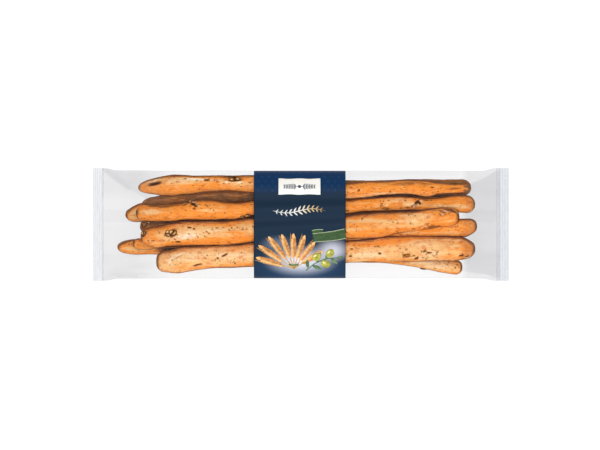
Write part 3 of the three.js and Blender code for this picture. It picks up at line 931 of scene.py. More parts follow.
def crust_material():
    """Baked crust: golden orange, paler where floury and where highlights are painted, browner
    edges with painted edge shade, pores and dark marks.

    The sticks carry how far each place is baked, with painted highlights and shade in it, their
    painted edge shade and browner underside, and their marks.
    """
    shader = Shader("crust")
    blotches = shader.noise((4.5, 2.6, 2.6), 4, 0.62)
    streaks = shader.noise((5, 0.9, 0.9), 3, 0.6)
    grain = shader.noise((0.9, 0.6, 0.6), 4, 0.7)
    pores = crust_pores(shader)
    baked = shader.maths("ADD", shader.noise((17, 5, 5), 3, 0.55), shader.attribute("bake"))
    swathe = shader.ramp(shader.noise((34, 2.4, 2.4), 2), 0.3, 0.7, -0.16, 0.16)
    swathes = shader.maths("ADD", baked, swathe)
    dark = shader.mix(shader.ramp(streaks, 0.4, 0.62), BROWN_CRUST, TAN_CRUST)
    edge, char = shader.attribute("edge"), shader.attribute("char")
    colour = shader.layered(FLOUR_CRUST, [
        # The palest layers show floury crumbs and the painted highlights
        (shader.ramp(swathes, -0.6, 0.1), HIGHLIGHT_AND_FLOURY_CRUST),
        (shader.ramp(swathes, 0.15, 0.6), PALE_CRUST),
        (shader.ramp(swathes, 0.62, 1.08), ORANGE_CRUST),
        (shader.ramp(blotches, 0.46, 0.74, 0.0, 0.7), DEEP_CRUST),
        (shader.ramp(streaks, 0.5, 0.68, 0.0, 0.55), PALE_CRUST),
        (shader.ramp(baked, 1.45, 1.95), dark),
        (shader.ramp(grain, 0.5, 0.74, 0.0, 0.7), DEEP_CRUST),
        (pores, PORE_CRUST),
        # Painted shade on the flanks and tips, and the browner underside
        (shader.ramp(edge, 0.05, 0.5, 0.0, 0.8), RIM_SHADE_AND_UNDERSIDE_CRUST),
        (shader.ramp(edge, 0.5, 0.95), EDGE_SHADE_AND_UNDERSIDE_CRUST),
        (shader.ramp(char, 0.0, 0.5), SCORCHED_CRUST),
        (shader.ramp(char, 0.45, 1.0), CHARRED_CRUST),
    ])
    fine = shader.maths("MULTIPLY_ADD", grain, 0.6, blotches)
    relief = shader.bump(shader.maths("SUBTRACT", fine, pores), 0.6)
    rough = shader.ramp(blotches, 0.3, 0.7, 0.55, 0.72)
    return shader.finish(shader.principled(colour, rough, 0.1, relief))


def olive_material():
    """Dried olive: nearly black skin, with mottled green-brown flesh where it is cut."""
    shader = Shader("olive_flesh")
    mottle = shader.noise((0.9, 0.8, 0.8), 3, 0.7)
    flesh = shader.maths("MULTIPLY", shader.attribute("flesh"), shader.ramp(mottle, 0.2, 0.42))
    colour = shader.layered(rgb(28, 16, 5), [
        (shader.ramp(mottle, 0.4, 0.68), rgb(96, 58, 18)),
        (shader.ramp(flesh, 0.0, 0.3), rgb(158, 100, 14)),
        (shader.ramp(flesh, 0.25, 0.9), rgb(230, 190, 128)),
    ])
    relief = shader.bump(mottle, 0.3, 0.8)
    return shader.finish(shader.principled(colour, 0.6, 0.08, relief))


def satin_print(shader, colour):
    """A printed colour under a satin varnish on slightly fibrous stock."""
    fibre = shader.noise((0.4, 0.4, 0.4), 2)
    rough = shader.ramp(fibre, 0.3, 0.7, 0.52, 0.6)
    relief = shader.bump(fibre, 0.01, 0.3)
    return shader.finish(shader.principled(colour, rough, 0.12, relief))


def band_material():
    """Navy print, bluer over its upper third, with a pale glow round the picture."""
    shader = Shader("navy_print")
    _, y, z = shader.place()
    upper = shader.ramp(y, BLUE_FROM * MM, BLUE_TO * MM)
    colour = shader.mix(upper, rgb(14, 36, 56), rgb(6, 44, 82))
    shown_side = shader.ramp(z, SEAL_LEVEL * MM, (SEAL_LEVEL + GLOW_FADE) * MM)
    for centre, reach, strength, tint in GLOWS:
        glow = shader.ramp(shader.distance_from(centre, reach), 1.0, 0.0, 0.0, strength)
        colour = shader.mix(shader.maths("MULTIPLY", glow, shown_side), colour, rgb(*tint))
    return satin_print(shader, colour)


def ink_material(name):
    """One colour of the print, slightly mottled between two tones."""
    shader = Shader(f"{name}_print")
    mottle = shader.ramp(shader.noise((2.5, 2.0, 2.0), 3, 0.6), 0.35, 0.65)
    light, dark = INKS[name]
    return satin_print(shader, shader.mix(mottle, rgb(*light), rgb(*dark)))


def foil_material():
    """Pale print that turns from white through gold to brown along the pack."""
    shader = Shader("foil_print")
    x, _, _ = shader.place()
    centre, length = FLOURISH["centre"][0], FLOURISH["length"]
    start, middle, end = ((centre + length * share) * MM for share in FOIL_TURNS)
    return satin_print(shader, shader.layered(rgb(216, 216, 212), [
        (shader.ramp(x, start, middle), rgb(200, 174, 124)),
        (shader.ramp(x, middle, end), rgb(116, 98, 76)),
    ]))


# ---- Film, seals and fin seam ----

def build_film(material):
    """The closed film of the body, dipped under the band and run into both seals."""
    start, end = LEFT_SEAL - SEAL_OVERLAP["left"], RIGHT_SEAL + SEAL_OVERLAP["right"]
    seat_edges = [BAND_START - SEAT_FADE, BAND_START, BAND_END, BAND_END + SEAT_FADE]
    stations = np.sort(np.append(np.linspace(start, end, FILM_RINGS), seat_edges))
    seat = 1 - smoothstep(distance_from_band(stations), 0, SEAT_FADE)
    points = film_rings(stations, SEAT_INSET * seat)
    points = points + grid_normals(points) * film_slack(points)[..., None]
    points[..., 2] = np.maximum(points[..., 2], UNDERSIDE_LIFT)
    piece = piece_from("film_body", *capped_loft(points), material, "clear_film", "bag")
    add_attribute(piece, "gathered", np.append(film_density_with_painted_shade(points), [1, 1]))


def zigzag(distance):
    """Pressed crimps: from -1 to 1 and back over each crimp's pitch."""
    return np.abs(distance / CRIMP_PITCH % 1 * 2 - 1) * 2 - 1


def saw_edge(y, teeth):
    """How far the saw-toothed cut stands back from its tips, at every y."""
    way = (y / SEAL_HALF_WIDTH + 1) / 2 * teeth % 1
    return TOOTH_DEPTH * np.abs(2 * way - 1)


def build_seal(side, material):
    """A flat strip pressed with fine crimps, with a saw-toothed cut edge."""
    outward, inner = {"left": (-1, LEFT_SEAL), "right": (1, RIGHT_SEAL)}[side]
    teeth = round(2 * SEAL_HALF_WIDTH / TOOTH_PITCH)
    y = np.linspace(-SEAL_HALF_WIDTH, SEAL_HALF_WIDTH, teeth * TOOTH_SAMPLES + 1)[None, :]
    share = np.linspace(0, 1, SEAL_ROWS)[:, None]
    cut = saw_edge(y, teeth) * smoothstep(share, TOOTH_START, 1)
    reach = share * (SEAL_DEPTH[side] - cut)
    sway = SWAY_HEIGHT * np.sin(y / SEAL_HALF_WIDTH * SWAY_TURN + outward) * share
    level = SEAL_LEVEL + CRIMP_HEIGHT * zigzag(reach) + sway
    x = inner + outward * reach
    middle = np.stack([x, np.broadcast_to(y, x.shape), level], axis=-1)
    pressed = seal_pressed(side, reach)
    mean, swing = LINE_DENSITY
    # The pressed lines take their end's density inside the hips, painted shade included, so the
    # right seal's lines are darker.
    lines = HIPS[side]["inside"][0] * (mean - swing * zigzag(reach)) * pressed
    upper = middle[::outward] + (0, 0, SEAL_THICKNESS / 2)
    lower = upper - (0, 0, SEAL_THICKNESS)
    piece = piece_from(f"seal_{side}", *slab(upper, lower), material, "clear_film", "bag")
    for name, values in (("gathered", lines), ("pressed", pressed)):
        add_attribute(piece, name, np.concatenate([values[::outward]] * 2))


def seal_pressed(side, reach):
    """How milky the press makes a seal, at a reach out of its inner edge."""
    low, high = (SEAL_OVERLAP[side] + edge for edge in PRESS_EDGE)
    return lerp(UNPRESSED, 1, smoothstep(reach, low, high))


def build_fin_seam(material):
    """The thin seam that closes the film lengthways, folded flat under the pack."""
    along, across = FIN_GRID
    x = np.linspace(LEFT_SEAL, RIGHT_SEAL, along)[:, None]
    y = np.tile(FIN_SIDE + FIN_WIDTH * np.linspace(-0.5, 0.5, across), (along, 1))
    film = film_level(x, y / half_width(x), False)
    level = film - UNDERSIDE_LIFT / 2 + FIN_CRIMP * zigzag(y)
    middle = np.stack([np.broadcast_to(x, y.shape), y, level], axis=-1)
    offset = np.array([0, 0, FIN_THICKNESS / 2])
    points, faces = slab(middle + offset, middle - offset)
    piece_from("fin_seam", points, faces, material, "clear_film", "bag")


# ---- Sticks ----

def stick_middle(stick, x):
    """Middle line (y, z) and plain radius of a stick at every x."""
    stations = [row[0] for row in stick["stations"]]
    y = smooth_curve(stations, [row[1] for row in stick["stations"]], x)
    radius = smooth_curve(stations, [row[2] for row in stick["stations"]], x) / 2
    start, end = stick["ends"]
    z = smooth_curve([start, (start + end) / 2, end], stick["heights"], x)
    return y, z, radius


def stick_radius(stick, x):
    """Radius with the rounded ends."""
    radius = stick_middle(stick, x)[2]
    start, end = stick["ends"]
    for tip, cap in ((x - start, stick["caps"][0]), (end - x, stick["caps"][1])):
        way = np.clip(tip / (cap * radius), 0, 1)
        radius = radius * (1 - (1 - way) ** CAP_POWER) ** (1 / CAP_POWER)
    return radius


def stick_stations(stick, body_samples):
    """Places for the rings of a stick, close together over its rounded ends."""
    start, end = stick["ends"]
    curve = 1 - np.cos(np.linspace(CAP_START, np.pi / 2, CAP_SAMPLES, endpoint=False))
    left = stick["caps"][0] * stick_middle(stick, np.array([start]))[2][0]
    right = stick["caps"][1] * stick_middle(stick, np.array([end]))[2][0]
    body = np.linspace(start + left, end - right, body_samples)
    return np.concatenate([start + left * curve, body, (end - right * curve)[::-1]])


def plain_stick(key):
    """A stick without relief: its rings of points, and their x, angle and radius."""
    around, along = TOP_GRID if key in TOP_STICKS else LOWER_GRID
    stick = STICKS[key]
    x = stick_stations(stick, along)[:, None]
    angle = 2 * np.pi * np.arange(around)[None, :] / around
    middle_y, middle_z, _ = stick_middle(stick, x)
    radius = stick_radius(stick, x)
    y = middle_y + radius * np.cos(angle)
    z = middle_z + FLATNESS * radius * np.sin(angle)
    return np.stack([np.broadcast_to(x, y.shape), y, z], axis=-1), (x, angle, radius)


def plan_angle(stick, x, y):
    """Angle round the stick of the point that is seen at (x, y) from above."""
    middle, _, _ = stick_middle(stick, np.array([x]))
    share = (y - middle[0]) / stick_radius(stick, np.array([x]))[0]
    return float(np.arccos(np.clip(share, -OUTERMOST, OUTERMOST)))


def oval(x, across, length, width, turn, power=4):
    """1 in the middle of an oval mark and 0 outside it; a low power gives it a soft edge."""
    cosine, sine = np.cos(turn), np.sin(turn)
    u = np.abs(x * cosine + across * sine) * 2 / length
    v = np.abs(across * cosine - x * sine) * 2 / width
    return np.exp(-(u**power + v**power) * OVAL_SHARPNESS)


def oval_on(grid, place, turned, length, width, turn, power=4):
    """An oval mark on a stick, round a place along it and an angle round it."""
    x, angle, radius = grid
    arc = ((angle - turned + np.pi) % (2 * np.pi) - np.pi) * radius
    return oval(x - place, arc, length, width, turn, power)


def placed_marks(key):
    """Slits and the beds of olive pieces: (x, angle, length, width, depth, turn, darkness)."""
    stick, marks = STICKS[key], []
    faint, shade_per_depth = SLIT_DARKNESS_AND_SHADE
    for x, y, length, width, depth, turn in SLITS.get(key, []):
        darkness = min(faint + shade_per_depth * depth, 1.0)
        marks.append((x, plan_angle(stick, x, y), length, width, depth, -np.radians(turn),
                      darkness))
    longer, wider = OLIVE_BED["spread"]
    for x, y, length, width, turn, _ in OLIVES.get(key, []):
        marks.append((x, plan_angle(stick, x, y), length * longer, width * wider,
                      OLIVE_BED["depth"], -np.radians(turn), OLIVE_BED["darkness"]))
    return marks


def random_mark(x, angle, size, depth, kind, rng):
    """A mark of a random stretch, turn and darkness, in the order of placed_marks."""
    length = size * rng.uniform(*kind["stretch"])
    turn = rng.uniform(-kind["turn"], kind["turn"])
    return x, angle, length, size, depth, turn, rng.uniform(*kind["darkness"])


def random_marks(key, rng):
    """Fine specks in patches of the shown side, then pits all round the stick."""
    stick, marks = STICKS[key], []
    for x, y, length, width, number in SPECKLED.get(key, []):
        for _ in range(number):
            place = x + length * rng.uniform(-0.5, 0.5)
            angle = plan_angle(stick, place, y + width * rng.uniform(-0.5, 0.5))
            size = rng.uniform(*SPECK["size"])
            marks.append(random_mark(place, angle, size, SPECK["depth"], SPECK, rng))
    start, end = stick["ends"]
    for _ in range(PITS["number"]):
        place = rng.uniform(start + PITS["margin"], end - PITS["margin"])
        size = rng.uniform(*PITS["size"])
        angle = rng.uniform(0, 2 * np.pi)
        marks.append(random_mark(place, angle, size, size * PITS["depth"], PITS, rng))
    return marks


def crust_relief(points, number):
    """Outward height of the crust's lumps, dents, lengthwise creases and grain."""
    shifted = points + (0, 0, number * FIELD_SHIFT)
    lumps = field(shifted, LUMPS)
    dents = field(shifted, DENTS)
    where = smoothstep(field(shifted, CREASE_PLACES), *CREASED)
    course = field(shifted, CREASE_COURSE)
    creases = -CREASE_DEPTH * np.exp(-(course / CREASE_WIDTH) ** 2) * where
    grain = sum(field(shifted, kind) for kind in GRAINS)
    return lumps + dents + creases + grain


def stick_bake_and_painted_light(key, grid):
    """How far each place of a stick is baked, with a painted highlight along its top and the
    painted highlights and shade among its tones.
    """
    stick = STICKS[key]
    x, angle, _ = grid
    start, end = stick["ends"]
    tip = 1 - smoothstep(np.minimum(x - start, end - x), *TIP_REACH)
    top_highlight = TOP_HIGHLIGHT * smoothstep(np.sin(angle), *TOP_HIGHLIGHT_HEIGHTS)
    bake = stick["bake"] + TIP_BAKE * tip - top_highlight
    for place, y, length, width, turn, amount in TONES.get(key, []):
        turned = plan_angle(stick, place, y)
        patch = oval_on(grid, place, turned, length, width, -np.radians(turn), power=2)
        bake = bake + amount * patch
    return bake


def stick_edge_shade_and_underside(key, surface, points):
    """Share of brown: painted shade on a surface's steep flanks, more towards +Y away from the
    light, and on its tips, and browner crust on its underside.
    """
    normals = grid_normals(surface)
    slope = np.hypot(normals[..., 0], normals[..., 1])
    far = FAR_EDGE_SHADE * smoothstep(slope, *FAR_SLOPES)
    near = NEAR_EDGE_SHADE * smoothstep(slope, *NEAR_SLOPES)
    edge = lerp(near, far, smoothstep(normals[..., 1], *SIDE_BLEND))
    edge = np.maximum(edge, TIP_EDGE_SHADE * smoothstep(np.abs(normals[..., 0]), *TIP_SLOPES))
    edge = np.where(normals[..., 2] > 0, edge, np.maximum(edge, UNDERSIDE_EDGE))
    for x, y, length, width, turn in JOINS.get(key, []):
        joined = oval(points[..., 0] - x, points[..., 1] - y, length, width, np.radians(turn))
        edge = edge * (1 - joined)
    return edge


def pushed_out(points, stick):
    """Points that lie inside another stick, moved out to its plain surface."""
    x, y, z = points[..., 0], points[..., 1], points[..., 2]
    middle_y, middle_z, _ = stick_middle(stick, x)
    radius = stick_radius(stick, x)
    start, end = stick["ends"]
    inside = (x > start) & (x < end)
    depth = np.hypot(y - middle_y, (z - middle_z) / FLATNESS) / np.maximum(radius, 1e-6)
    reach = np.where(inside & (depth < 1), 1 / np.maximum(depth, DEEPEST), 1)
    moved = points.copy()
    moved[..., 1] = middle_y + (y - middle_y) * reach
    moved[..., 2] = middle_z + (z - middle_z) * reach
    return moved


def kept_in_film(points):
    """Points moved just inside the film, where they would touch it."""
    x = points[..., 0]
    gap = lerp(BAND_GAP, FILM_GAP, smoothstep(distance_from_band(x), 0, GAP_EASE))
    limit = half_width(x) - gap - SIDE_GAP
    y = np.clip(points[..., 1], -limit, limit)
    across = y / (half_width(x) - gap)
    highest = film_level(x, across, True, gap)
    lowest = film_level(x, across, False, gap)
    return np.stack([x, y, np.clip(points[..., 2], lowest, highest)], axis=-1)


def build_stick(key, material):
    """One stick, dented by the sticks that lie on it. Returns its rings of points."""
    number = list(STICKS).index(key)
    rng = np.random.default_rng(STICK_SEED + number)
    plain, grid = plain_stick(key)
    x, _, radius = grid
    full = stick_middle(STICKS[key], x)[2]
    relief = crust_relief(plain, number) * smoothstep(radius / full, *RELIEF_FADE)
    char = np.zeros(relief.shape)
    for *place, depth, turn, darkness in placed_marks(key) + random_marks(key, rng):
        mark = oval_on(grid, *place, turn)
        relief = relief - depth * mark
        char = np.maximum(char, darkness * mark)
    points = plain + grid_normals(plain) * relief[..., None]
    for above in list(STICKS)[:number]:
        points = pushed_out(points, STICKS[above])
    points = kept_in_film(points)
    piece = piece_from(f"stick_{key}", *capped_loft(points), material, "crust", "bag")
    edge = stick_edge_shade_and_underside(key, points if key in TOP_STICKS else plain, points)
    bake = stick_bake_and_painted_light(key, grid)
    for name, values, tip in (("char", char, 0), ("edge", edge, 0), ("bake", bake, 1)):
        add_attribute(piece, name, np.append(values, [tip, tip]))
    return points


# ---- Olive pieces ----

def olive_slice(length, width, turn, rng):
    """Rings and paleness of a wavy round slice with a hole in its middle."""
    reach, level, pale = (np.array(row)[:, None] for row in SLICE_PROFILE)
    twice, thrice = SLICE_WAVES
    wavy = 1 + twice * np.sin(2 * turn + rng.uniform(0, 6)) * reach
    wavy = wavy + thrice * np.sin(3 * turn + rng.uniform(0, 6))
    uneven = 1 + SLICE_UNEVENNESS * np.sin(3 * turn + rng.uniform(0, 6))
    points = np.stack([
        length / 2 * reach * wavy * np.cos(turn),
        width / 2 * reach * wavy * np.sin(turn),
        SLICE_THICKNESS * level * uneven,
    ], axis=-1)
    return points, pale * (0.5 + 0.5 * np.sin(2 * turn + rng.uniform(0, 6)))


def olive_chunk(kind, length, width, turn, rng):
    """Rings and paleness of a lumpy lengthwise piece."""
    polar = np.linspace(np.pi - CHUNK_START, CHUNK_START, CHUNK_RINGS)[:, None]
    unit = np.stack([
        np.broadcast_to(np.cos(polar), (CHUNK_RINGS, turn.shape[1])),
        np.sin(polar) * np.cos(turn),
        np.sin(polar) * np.sin(turn),
    ], axis=-1)
    lumpy = 1 + field(unit + rng.uniform(0, 50, 3), CHUNK_LUMPS)
    flesh = CHUNK_FLESH[kind] + field(unit + rng.uniform(0, 50, 3), CHUNK_MOTTLE)
    size = (length / 2, width / 2, width * CHUNK_HEIGHT)
    return unit * lumpy[..., None] * size, np.clip(flesh, 0, 1)


def olive_shape(kind, length, width, rng):
    """Points, faces and paleness of an olive piece that lies flat round the origin."""
    turn = 2 * np.pi * np.arange(OLIVE_SAMPLES)[None, :] / OLIVE_SAMPLES
    if kind == "slice":
        rings, flesh = olive_slice(length, width, turn, rng)
    else:
        rings, flesh = olive_chunk(kind, length, width, turn, rng)
    return *capped_loft(rings), np.append(flesh, [0, 0])


def olive_places(rng):
    """Where every olive piece sits: (stick, x, angle, length, width, turn, kind)."""
    places = []
    for key, rows in OLIVES.items():
        for x, y, length, width, turn, kind in rows:
            angle = plan_angle(STICKS[key], x, y)
            places.append((key, x, angle, length, width, np.radians(turn), kind))
    hidden = HIDDEN_OLIVES
    low, high = hidden["angles"]
    for key, stick in STICKS.items():
        start, end = stick["ends"]
        for _ in range(hidden["number"]):
            x = rng.uniform(start + hidden["margin"], end - hidden["margin"])
            angle = rng.uniform(np.pi * low, np.pi * high)
            length = rng.uniform(*hidden["length"])
            kind = rng.choice(["slice", "chunk"])
            turn = rng.uniform(-hidden["turn"], hidden["turn"])
            places.append((key, x, angle, length, length * hidden["width"], turn, kind))
    return places


def laid_on(surface, x, angle, turn, shape):
    """Points of a flat shape, laid on a stick's surface and turned from lengthways."""
    ring = int(np.argmin(np.abs(surface[:, 0, 0] - x)))
    spot = int(round(angle / (2 * np.pi) * surface.shape[1])) % surface.shape[1]
    up = Vector(grid_normals(surface)[ring, spot])
    along = Vector((np.cos(turn), np.sin(turn), 0))
    along = (along - up * along.dot(up)).normalized()
    return surface[ring, spot] + shape @ np.array([along, up.cross(along), up])


def build_olives(surfaces, material):
    """All olive pieces in one mesh, each sunk into the surface of its stick."""
    rng = np.random.default_rng(OLIVE_SEED)
    parts, flesh = [], []
    for key, x, angle, length, width, turn, kind in olive_places(rng):
        shape, faces, pale = olive_shape(kind, length, width, rng)
        parts.append((laid_on(surfaces[key], x, angle, turn, shape), faces))
        flesh.append(pale)
    points, faces = merged(parts)
    piece = piece_from("olives", kept_in_film(points), faces, material, "olive", "bag")
    add_attribute(piece, "flesh", np.concatenate(flesh))


# ---- The printed band ----

def build_band(material):
    """The sleeve round the pack, closed through its inside."""
    stations = np.linspace(BAND_START, BAND_END, BAND_RINGS)
    outer = film_rings(stations, BAND_INSET)
    inner = film_rings(stations[::-1], BAND_INSET + BAND_THICKNESS)
    points = np.concatenate([outer, inner])
    faces = ring_quads(*points.shape[:2], closed=True)
    piece_from("band", points, faces, material, "printed_band", "label_band")


# ---- The print on the band ----

def sideways(line):
    """Unit vectors to the left of a line, at each of its points."""
    heading = np.gradient(line, axis=0)
    heading /= np.linalg.norm(heading, axis=1, keepdims=True)
    return np.stack([-heading[:, 1], heading[:, 0]], axis=1)


def printed_strip(line, widths, layer, shown=True):
    """Upper and lower grid of a thin strip of print along a line of (x, y)."""
    line = np.asarray(line, float)
    widths = np.broadcast_to(widths, len(line))
    columns = 3 + int(np.max(widths) / PRINT_PITCH)
    offsets = widths[:, None] * np.linspace(-0.5, 0.5, columns)
    plan = line[:, None] + offsets[..., None] * sideways(line)[:, None]
    x, y = plan[..., 0], plan[..., 1]
    level = film_level(x, y / (half_width(x) - BAND_INSET), shown, BAND_INSET)
    outward = 1 if shown else -1
    face = np.stack([x, y, level + outward * PRINT_STEP * layer], axis=-1)
    root = np.stack([x, y, level - outward * PRINT_SINK], axis=-1)
    return (face, root) if shown else (root, face)


def printed(name, strips, material):
    """One piece with all the strips of one ink."""
    points, faces = merged(slab(*strip) for strip in strips)
    piece_from(name, points, faces, material, "printed_band", "label_band")


def straight(start, end):
    """Points along a straight line, no further apart than the print's pitch."""
    start, end = np.asarray(start, float), np.asarray(end, float)
    count = 2 + int(np.linalg.norm(end - start) / PRINT_PITCH)
    return lerp(start, end, np.linspace(0, 1, count)[:, None])


def curve_through(places):
    """A smooth line through (x, y) places, in steps of about the print's pitch."""
    places = np.asarray(places, float)
    run = np.linalg.norm(np.diff(places, axis=0), axis=1)
    station = np.concatenate([[0], np.cumsum(run)])
    along = np.linspace(0, station[-1], 3 + int(station[-1] / PRINT_PITCH))
    return np.stack([smooth_curve(station, places[:, i], along) for i in (0, 1)], axis=1)


def pointing(angle):
    return np.array([np.cos(angle), np.sin(angle)])


def leaf(base, angle, length, width, layer, fullness=0.8, samples=9):
    """A pointed oval from its base outward; a low fullness makes it rounder."""
    share = np.linspace(0, 1, samples)
    line = np.asarray(base) + share[:, None] * length * pointing(angle)
    widths = width * np.maximum(np.sin(np.pi * share) ** fullness, TIP_SHARE)
    return printed_strip(line, widths, layer)


def disc(centre, radii, angle, layer):
    """An oval of print round its centre."""
    way = -np.cos(np.linspace(0, np.pi, 15))
    line = np.asarray(centre) + (radii[0] * way)[:, None] * pointing(angle)
    widths = 2 * radii[1] * np.maximum(np.sqrt(1 - way**2), TIP_SHARE)
    return printed_strip(line, widths, layer)


def print_plate():
    """A plain cream plate with bowed long edges."""
    x, y = PLATE["centre"]
    length, width = PLATE["size"]
    line = straight((x - length / 2, y), (x + length / 2, y))
    bow = PLATE["bow"] * np.cos(2 * np.pi * (line[:, 0] - x) / length * PLATE["waves"])
    printed("print_plate", [printed_strip(line, width + bow, layer=1)], ink_material("cream"))


def print_plate_sprig():
    """A small sprig on the plate, with paired leaves to both sides of a bud."""
    (x, y), sprig = PLATE["centre"], PLATE_SPRIG
    length, width = sprig["leaf"]
    stalk = straight((x - sprig["reach"], y), (x + sprig["reach"], y))
    strips = [printed_strip(stalk, sprig["stalk"], layer=2)]
    for side, outward in ((-1, np.pi), (1, 0)):
        for i in range(sprig["pairs"]):
            root = (x + side * (sprig["first"] + sprig["pitch"] * i), y)
            for lean in (-sprig["lean"], sprig["lean"]):
                size = length - sprig["shrink"] * i, width
                strips.append(leaf(root, outward + lean, *size, layer=2))
    strips.append(disc((x, y), (sprig["bud"], sprig["bud"]), 0, layer=2))
    printed("print_plate_sprig", strips, ink_material("ink"))


def print_flourish():
    """A long scroll with paired leaves, across the middle of the band."""
    scroll = FLOURISH
    x, y = scroll["centre"]
    share = np.linspace(-0.5, 0.5, scroll["samples"])
    wave = scroll["sway"] * np.sin(2 * np.pi * share)
    line = np.stack([x + scroll["length"] * share, y + wave], axis=1)
    outness = np.abs(2 * share)
    widths = scroll["width"] * (1 - scroll["taper"] * outness)
    strips = [printed_strip(line, widths, layer=1)]
    for i in range(*scroll["leaves"]):
        angle = np.arctan2(*(line[i + 1] - line[i - 1])[::-1])
        size = scroll["leaf"] * (1 - scroll["shrink"] * outness[i])
        for lean in (-scroll["lean"], scroll["lean"]):
            strips.append(leaf(line[i], angle + lean, size, size * scroll["slim"], layer=1))
    printed("print_flourish", strips, foil_material())


def wheat_ear(angle, stalk, ear):
    """Stalk and awns, grains lit from one side and grains in shade of one ear of wheat."""
    ahead = pointing(angle)
    first = SHEAF_FOOT + stalk * ahead
    stem = straight(SHEAF_FOOT, first + ear * STALK_RUN * ahead)
    stalks, lit, shaded = [printed_strip(stem, STALK_WIDTH, layer=1)], [], []
    pairs = round(ear / GRAIN_PITCH)
    left, right = angle + GRAIN_SPREAD, angle - GRAIN_SPREAD
    for i in range(pairs):
        root = first + GRAIN_PITCH * i * ahead
        size = GRAIN_SIZE * (1 - EAR_TAPER * abs(2 * (i + 1) / (pairs + 1) - 1))
        lit.append(leaf(root, left, *size, layer=1))
        shaded.append(leaf(root + GRAIN_PITCH / 2 * ahead, right, *size, layer=1))
        tip = root + size[0] * pointing(left)
        stalks.append(leaf(tip, angle + GRAIN_SPREAD / 2, AWN_LENGTH, AWN_WIDTH, layer=1))
    lit.append(leaf(first + GRAIN_PITCH * pairs * ahead, angle, *GRAIN_SIZE, layer=1))
    return stalks, lit, shaded


def print_sheaf():
    """A fan of wheat ears, tied at its foot."""
    ears = [wheat_ear(np.radians(angle), stalk, ear) for angle, stalk, ear in EARS]
    inks = (("stalks", "straw"), ("grains_lit", "wheat"), ("grains_shaded", "toast"))
    for (name, ink), parts in zip(inks, zip(*ears)):
        printed(f"print_{name}", sum(parts, []), ink_material(ink))


def print_twig():
    """An olive twig with leaves and fruit beside the sheaf, and the sheaf's tie."""
    twig = curve_through(TWIG)
    green = [printed_strip(twig, TWIG_WIDTH, layer=2), printed_strip(TIE, TIE_WIDTH, layer=2)]
    for i, (angle, length) in enumerate(LEAVES):
        root = twig[round((i + 0.5) / len(LEAVES) * (len(twig) - 1))]
        green.append(leaf(root, np.radians(angle), length, length * LEAF_SLIM, layer=2))
    fruit, shine = [], []
    for *centre, angle in FRUIT:
        fruit.append(disc(centre, OLIVE_RADII, np.radians(angle), layer=3))
        centre = np.add(centre, SHINE_PLACE)
        shine.append(disc(centre, SHINE_RADII, np.radians(angle), layer=4))
    printed("print_leaves", green, ink_material("leaf"))
    printed("print_olives", fruit, ink_material("olive"))
    printed("print_shine", shine, ink_material("shine"))


def print_ribbon():
    """A plain green ribbon that runs off the band's edge, with a folded tab and pale edges."""
    line, tab = curve_through(RIBBON["line"]), curve_through(RIBBON["tab"])
    widths = np.linspace(*RIBBON["widths"], len(line))
    green = [printed_strip(tab, RIBBON["tab_width"], layer=2),
             printed_strip(line, widths, layer=3)]
    printed("print_ribbon", green, ink_material("ribbon"))
    inset, width = RIBBON["edge"]
    offset = sideways(line) * (widths / 2 - inset)[:, None]
    edges = [printed_strip(line + side * offset, width, layer=4) for side in (-1, 1)]
    inset, width = RIBBON["tab_edge"]
    edge = tab + (0, RIBBON["tab_width"] / 2 - inset)
    edges.append(printed_strip(edge, width, layer=3))
    printed("print_ribbon_edges", edges, ink_material("edge"))


def print_ornament():
    """Rows of small diamonds, a little lighter than the blue they stand on."""
    size = ORNAMENT["size"]
    shape = {"width": size * ORNAMENT["slim"], "fullness": ORNAMENT["fullness"],
             "samples": ORNAMENT["samples"]}
    diamonds = []
    for row, y in enumerate(np.arange(*ORNAMENT["rows"])):
        for x in np.arange(*ORNAMENT["columns"]) + row % 2 * ORNAMENT["columns"][2] / 2:
            beside = np.abs((x, y) - np.array(PLATE["centre"])) - np.array(PLATE["size"]) / 2
            if np.max(beside) > ORNAMENT["clear"]:
                diamonds.append(leaf((x - size / 2, y), 0, size, layer=1, **shape))
    printed("print_ornament", diamonds, ink_material("ornament"))


def print_back():
    """A plain pale panel with thin rules on the underside."""
    (left, right), (low, high) = BACK_PANEL["x"], BACK_PANEL["y"]
    middle, margin = (low + high) / 2, BACK_PANEL["margin"]
    line = straight((left, middle), (right, middle))
    panel = printed_strip(line, high - low, layer=1, shown=False)
    printed("print_back_panel", [panel], ink_material("panel"))
    rules = []
    for y in np.linspace(low + margin, high - margin, BACK_PANEL["rules"]):
        line = straight((left + margin, y), (right - margin, y))
        rules.append(printed_strip(line, BACK_PANEL["rule"], layer=2, shown=False))
    printed("print_back_rules", rules, ink_material("rule"))


# ---- Stage ----

FRAME_WIDTH = 431.65  # of the picture at the pack's middle height
FRAME_CENTRE = (-0.72, -0.36, 16.0)
CAMERA_DISTANCE = 3000.0
SENSOR_WIDTH = 36.0
FARTHEST = 50.0  # that the camera sees, in metres
FLOOR_SIDE = 4.0  # in metres, from the middle of the floor

# The studio's soft boxes: place in metres, width, height and power in watts.
LIGHTS = {
    "overhead": ((0.0, 0.2, 2.4), 3.2, 2.0, 62),
    "front": ((0.2, -2.6, 1.6), 4.0, 2.0, 54),
}
WORLD_STRENGTH = 0.4


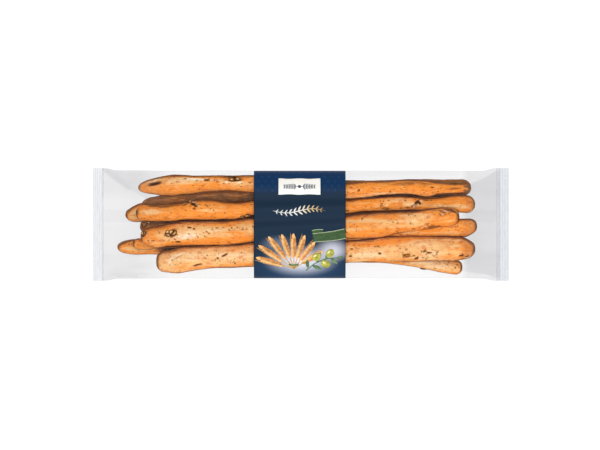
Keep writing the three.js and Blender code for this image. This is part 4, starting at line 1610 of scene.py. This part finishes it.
def build_camera():
    camera = bpy.data.cameras.new("camera")
    camera.sensor_width = SENSOR_WIDTH
    camera.lens = SENSOR_WIDTH * CAMERA_DISTANCE / FRAME_WIDTH
    camera.clip_end = FARTHEST
    piece = add_object("camera", camera)
    piece.location = (Vector(FRAME_CENTRE) + Vector((0, 0, CAMERA_DISTANCE))) * MM
    bpy.context.scene.camera = piece


def build_light(name, place, width, height, power):
    """A soft box that faces the pack."""
    light = bpy.data.lights.new(name, "AREA")
    light.shape = "RECTANGLE"
    light.size = width
    light.size_y = height
    light.energy = power
    lamp = add_object(name, light)
    lamp.location = place
    lamp.rotation_euler = (-Vector(place)).to_track_quat("-Z", "Y").to_euler()


def build_floor():
    shader = Shader("pale_floor")
    surface = shader.add("ShaderNodeBsdfPrincipled", {
        "Base Color": (0.14, 0.14, 0.14, 1),
        "Roughness": 0.9,
        "Emission Color": (1, 1, 1, 1),
        "Emission Strength": 0.9,
    })
    mesh = bpy.data.meshes.new("floor")
    corners = [(-1, -1, 0), (1, -1, 0), (1, 1, 0), (-1, 1, 0)]
    mesh.from_pydata((FLOOR_SIDE * np.array(corners)).tolist(), [], [(0, 1, 2, 3)])
    mesh.materials.append(shader.finish(surface.outputs[0]))
    add_object("floor", mesh)


def build_stage():
    scene = bpy.context.scene
    scene.view_settings.view_transform = "Standard"
    world = bpy.data.worlds.new("studio")
    world.use_nodes = True
    background = world.node_tree.nodes["Background"]
    background.inputs["Color"].default_value = (1, 1, 1, 1)
    background.inputs["Strength"].default_value = WORLD_STRENGTH
    scene.world = world
    build_floor()
    build_camera()
    for name, light in LIGHTS.items():
        build_light(name, *light)


# ---- Assembly ----

def build_pack():
    film = film_material()
    build_film(film)
    seal = seal_material()
    build_seal("left", seal)
    build_seal("right", seal)
    build_fin_seam(fin_material())
    crust = crust_material()
    surfaces = {key: build_stick(key, crust) for key in STICKS}
    build_olives(surfaces, olive_material())
    build_band(band_material())
    print_plate()
    print_flourish()
    print_sheaf()
    print_twig()
    print_plate_sprig()
    print_ribbon()
    print_ornament()
    print_back()


build_stage()
build_pack()
